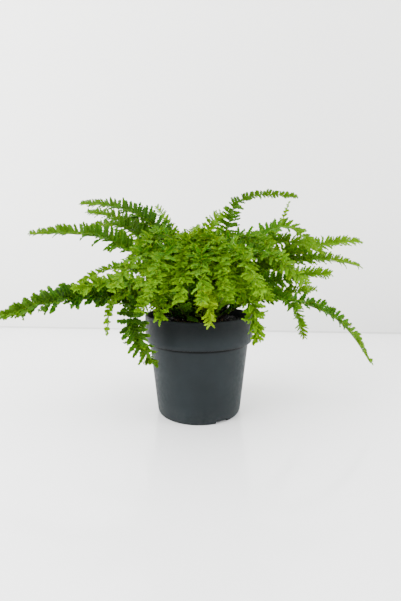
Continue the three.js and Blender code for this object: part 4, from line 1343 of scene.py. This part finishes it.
def leaf_material(name, deep, full, young, fresh):
    """Deep colour in the shaded and mottled parts, full colour over the blade, and the young
    colour towards frond tips, along veins and on margins, where it is partly their own paler colour
    and partly a painted highlight. The fresh one is for new fronds."""
    material, nodes, link, surface = new_material(name, 0.55, 0.07)
    pattern = nodes.new("ShaderNodeGroup")
    pattern.node_tree = LEAF_PATTERN
    pattern.inputs["Vein Width"].default_value = 0.07
    pattern.inputs["Side Veins"].default_value = 9.0
    pattern.inputs["Mottle Size"].default_value = 3.0
    shade, along, age = (attribute(nodes, n) for n in ("shade", "along", "age"))
    body = math_node(nodes, link, "MULTIPLY_ADD", pattern.outputs["Mottle"], 0.5, 0.05)
    body = math_node(nodes, link, "MULTIPLY_ADD", shade, 0.75, body, clamp=True)
    blade = blend_colors(nodes, link, body, deep, full)
    tip = math_node(nodes, link, "MULTIPLY_ADD", along, 1.5, -0.95, clamp=True)
    pale = math_node(nodes, link, "MULTIPLY_ADD", age, 0.25, tip, clamp=True)
    pale = math_node(nodes, link, "MULTIPLY", pale, 0.75)
    aged = blend_colors(nodes, link, pale, blade, young)
    line = math_node(nodes, link, "MULTIPLY", pattern.outputs["Vein"], 0.35)
    veined = blend_colors(nodes, link, line, aged, young)
    # Margins and leaflet ends take the young colour: partly their own paler colour, partly a
    # painted highlight.
    rim = math_node(nodes, link, "MULTIPLY", pattern.outputs["Margin"], 0.42)
    margin_and_highlight = blend_colors(nodes, link, rim, veined, young)
    newest = math_node(nodes, link, "MULTIPLY_ADD", age, 0.6, -1.35, clamp=True)
    newest = math_node(nodes, link, "MULTIPLY", newest, 0.85)
    link(blend_colors(nodes, link, newest, margin_and_highlight, fresh), surface.inputs["Base Color"])
    rough = math_node(nodes, link, "MULTIPLY_ADD", pattern.outputs["Mottle"], 0.15, 0.48)
    link(rough, surface.inputs["Roughness"])
    surface.inputs["Subsurface Weight"].default_value = 0.15
    surface.inputs["Subsurface Radius"].default_value = (0.5, 1.0, 0.15)
    surface.inputs["Subsurface Scale"].default_value = 0.0012
    bump(nodes, link, pattern.outputs["Vein"], surface, 0.25, 0.15)
    return material


def rib_material(name, foot, tip):
    """The stalk's colour at the foot, a leafier one towards the tip, and fine fibres on both."""
    material, nodes, link, surface = new_material(name, 0.5, 0.4)
    fibre = speckle(nodes, 0.8, 1.6)
    rise = math_node(nodes, link, "MULTIPLY_ADD", attribute(nodes, "along"), 2.6, -0.2, clamp=True)
    stem = blend_colors(nodes, link, rise, foot, tip)
    wear = math_node(nodes, link, "MULTIPLY", fibre.outputs["Mask"], 0.35)
    worn = blend_colors(nodes, link, wear, stem, foot)
    link(worn, surface.inputs["Base Color"])
    bump(nodes, link, fibre.outputs["Height"], surface, 0.3, 0.1)
    return material


LEAVES = {
    "lime": leaf_material("lime_leaf", srgb(5, 32, 0), srgb(26, 76, 0), srgb(106, 151, 0),
                          srgb(154, 186, 10)),
    "green": leaf_material("green_leaf", srgb(3, 23, 0), srgb(14, 48, 0), srgb(82, 124, 0),
                           srgb(106, 151, 0)),
}
STALKS = {
    "lime": rib_material("lime_midrib", srgb(34, 30, 14), srgb(84, 112, 18)),
    "green": rib_material("green_midrib", srgb(28, 24, 12), srgb(60, 88, 16)),
}

print("leaf and midrib materials", [m.name for m in (*LEAVES.values(), *STALKS.values())])

# %% [markdown]
# Every frond of the table is grown from random numbers of its own, so that a change to one frond
# leaves those of the others alone.

# %% Grow them all
grown = [build_frond(i, row, LEAVES[row[LEAF]], STALKS[row[LEAF]]) for i, row in enumerate(FRONDS)]
print("pinnae", sum(g[0] for g in grown), "faces", sum(g[1] for g in grown))
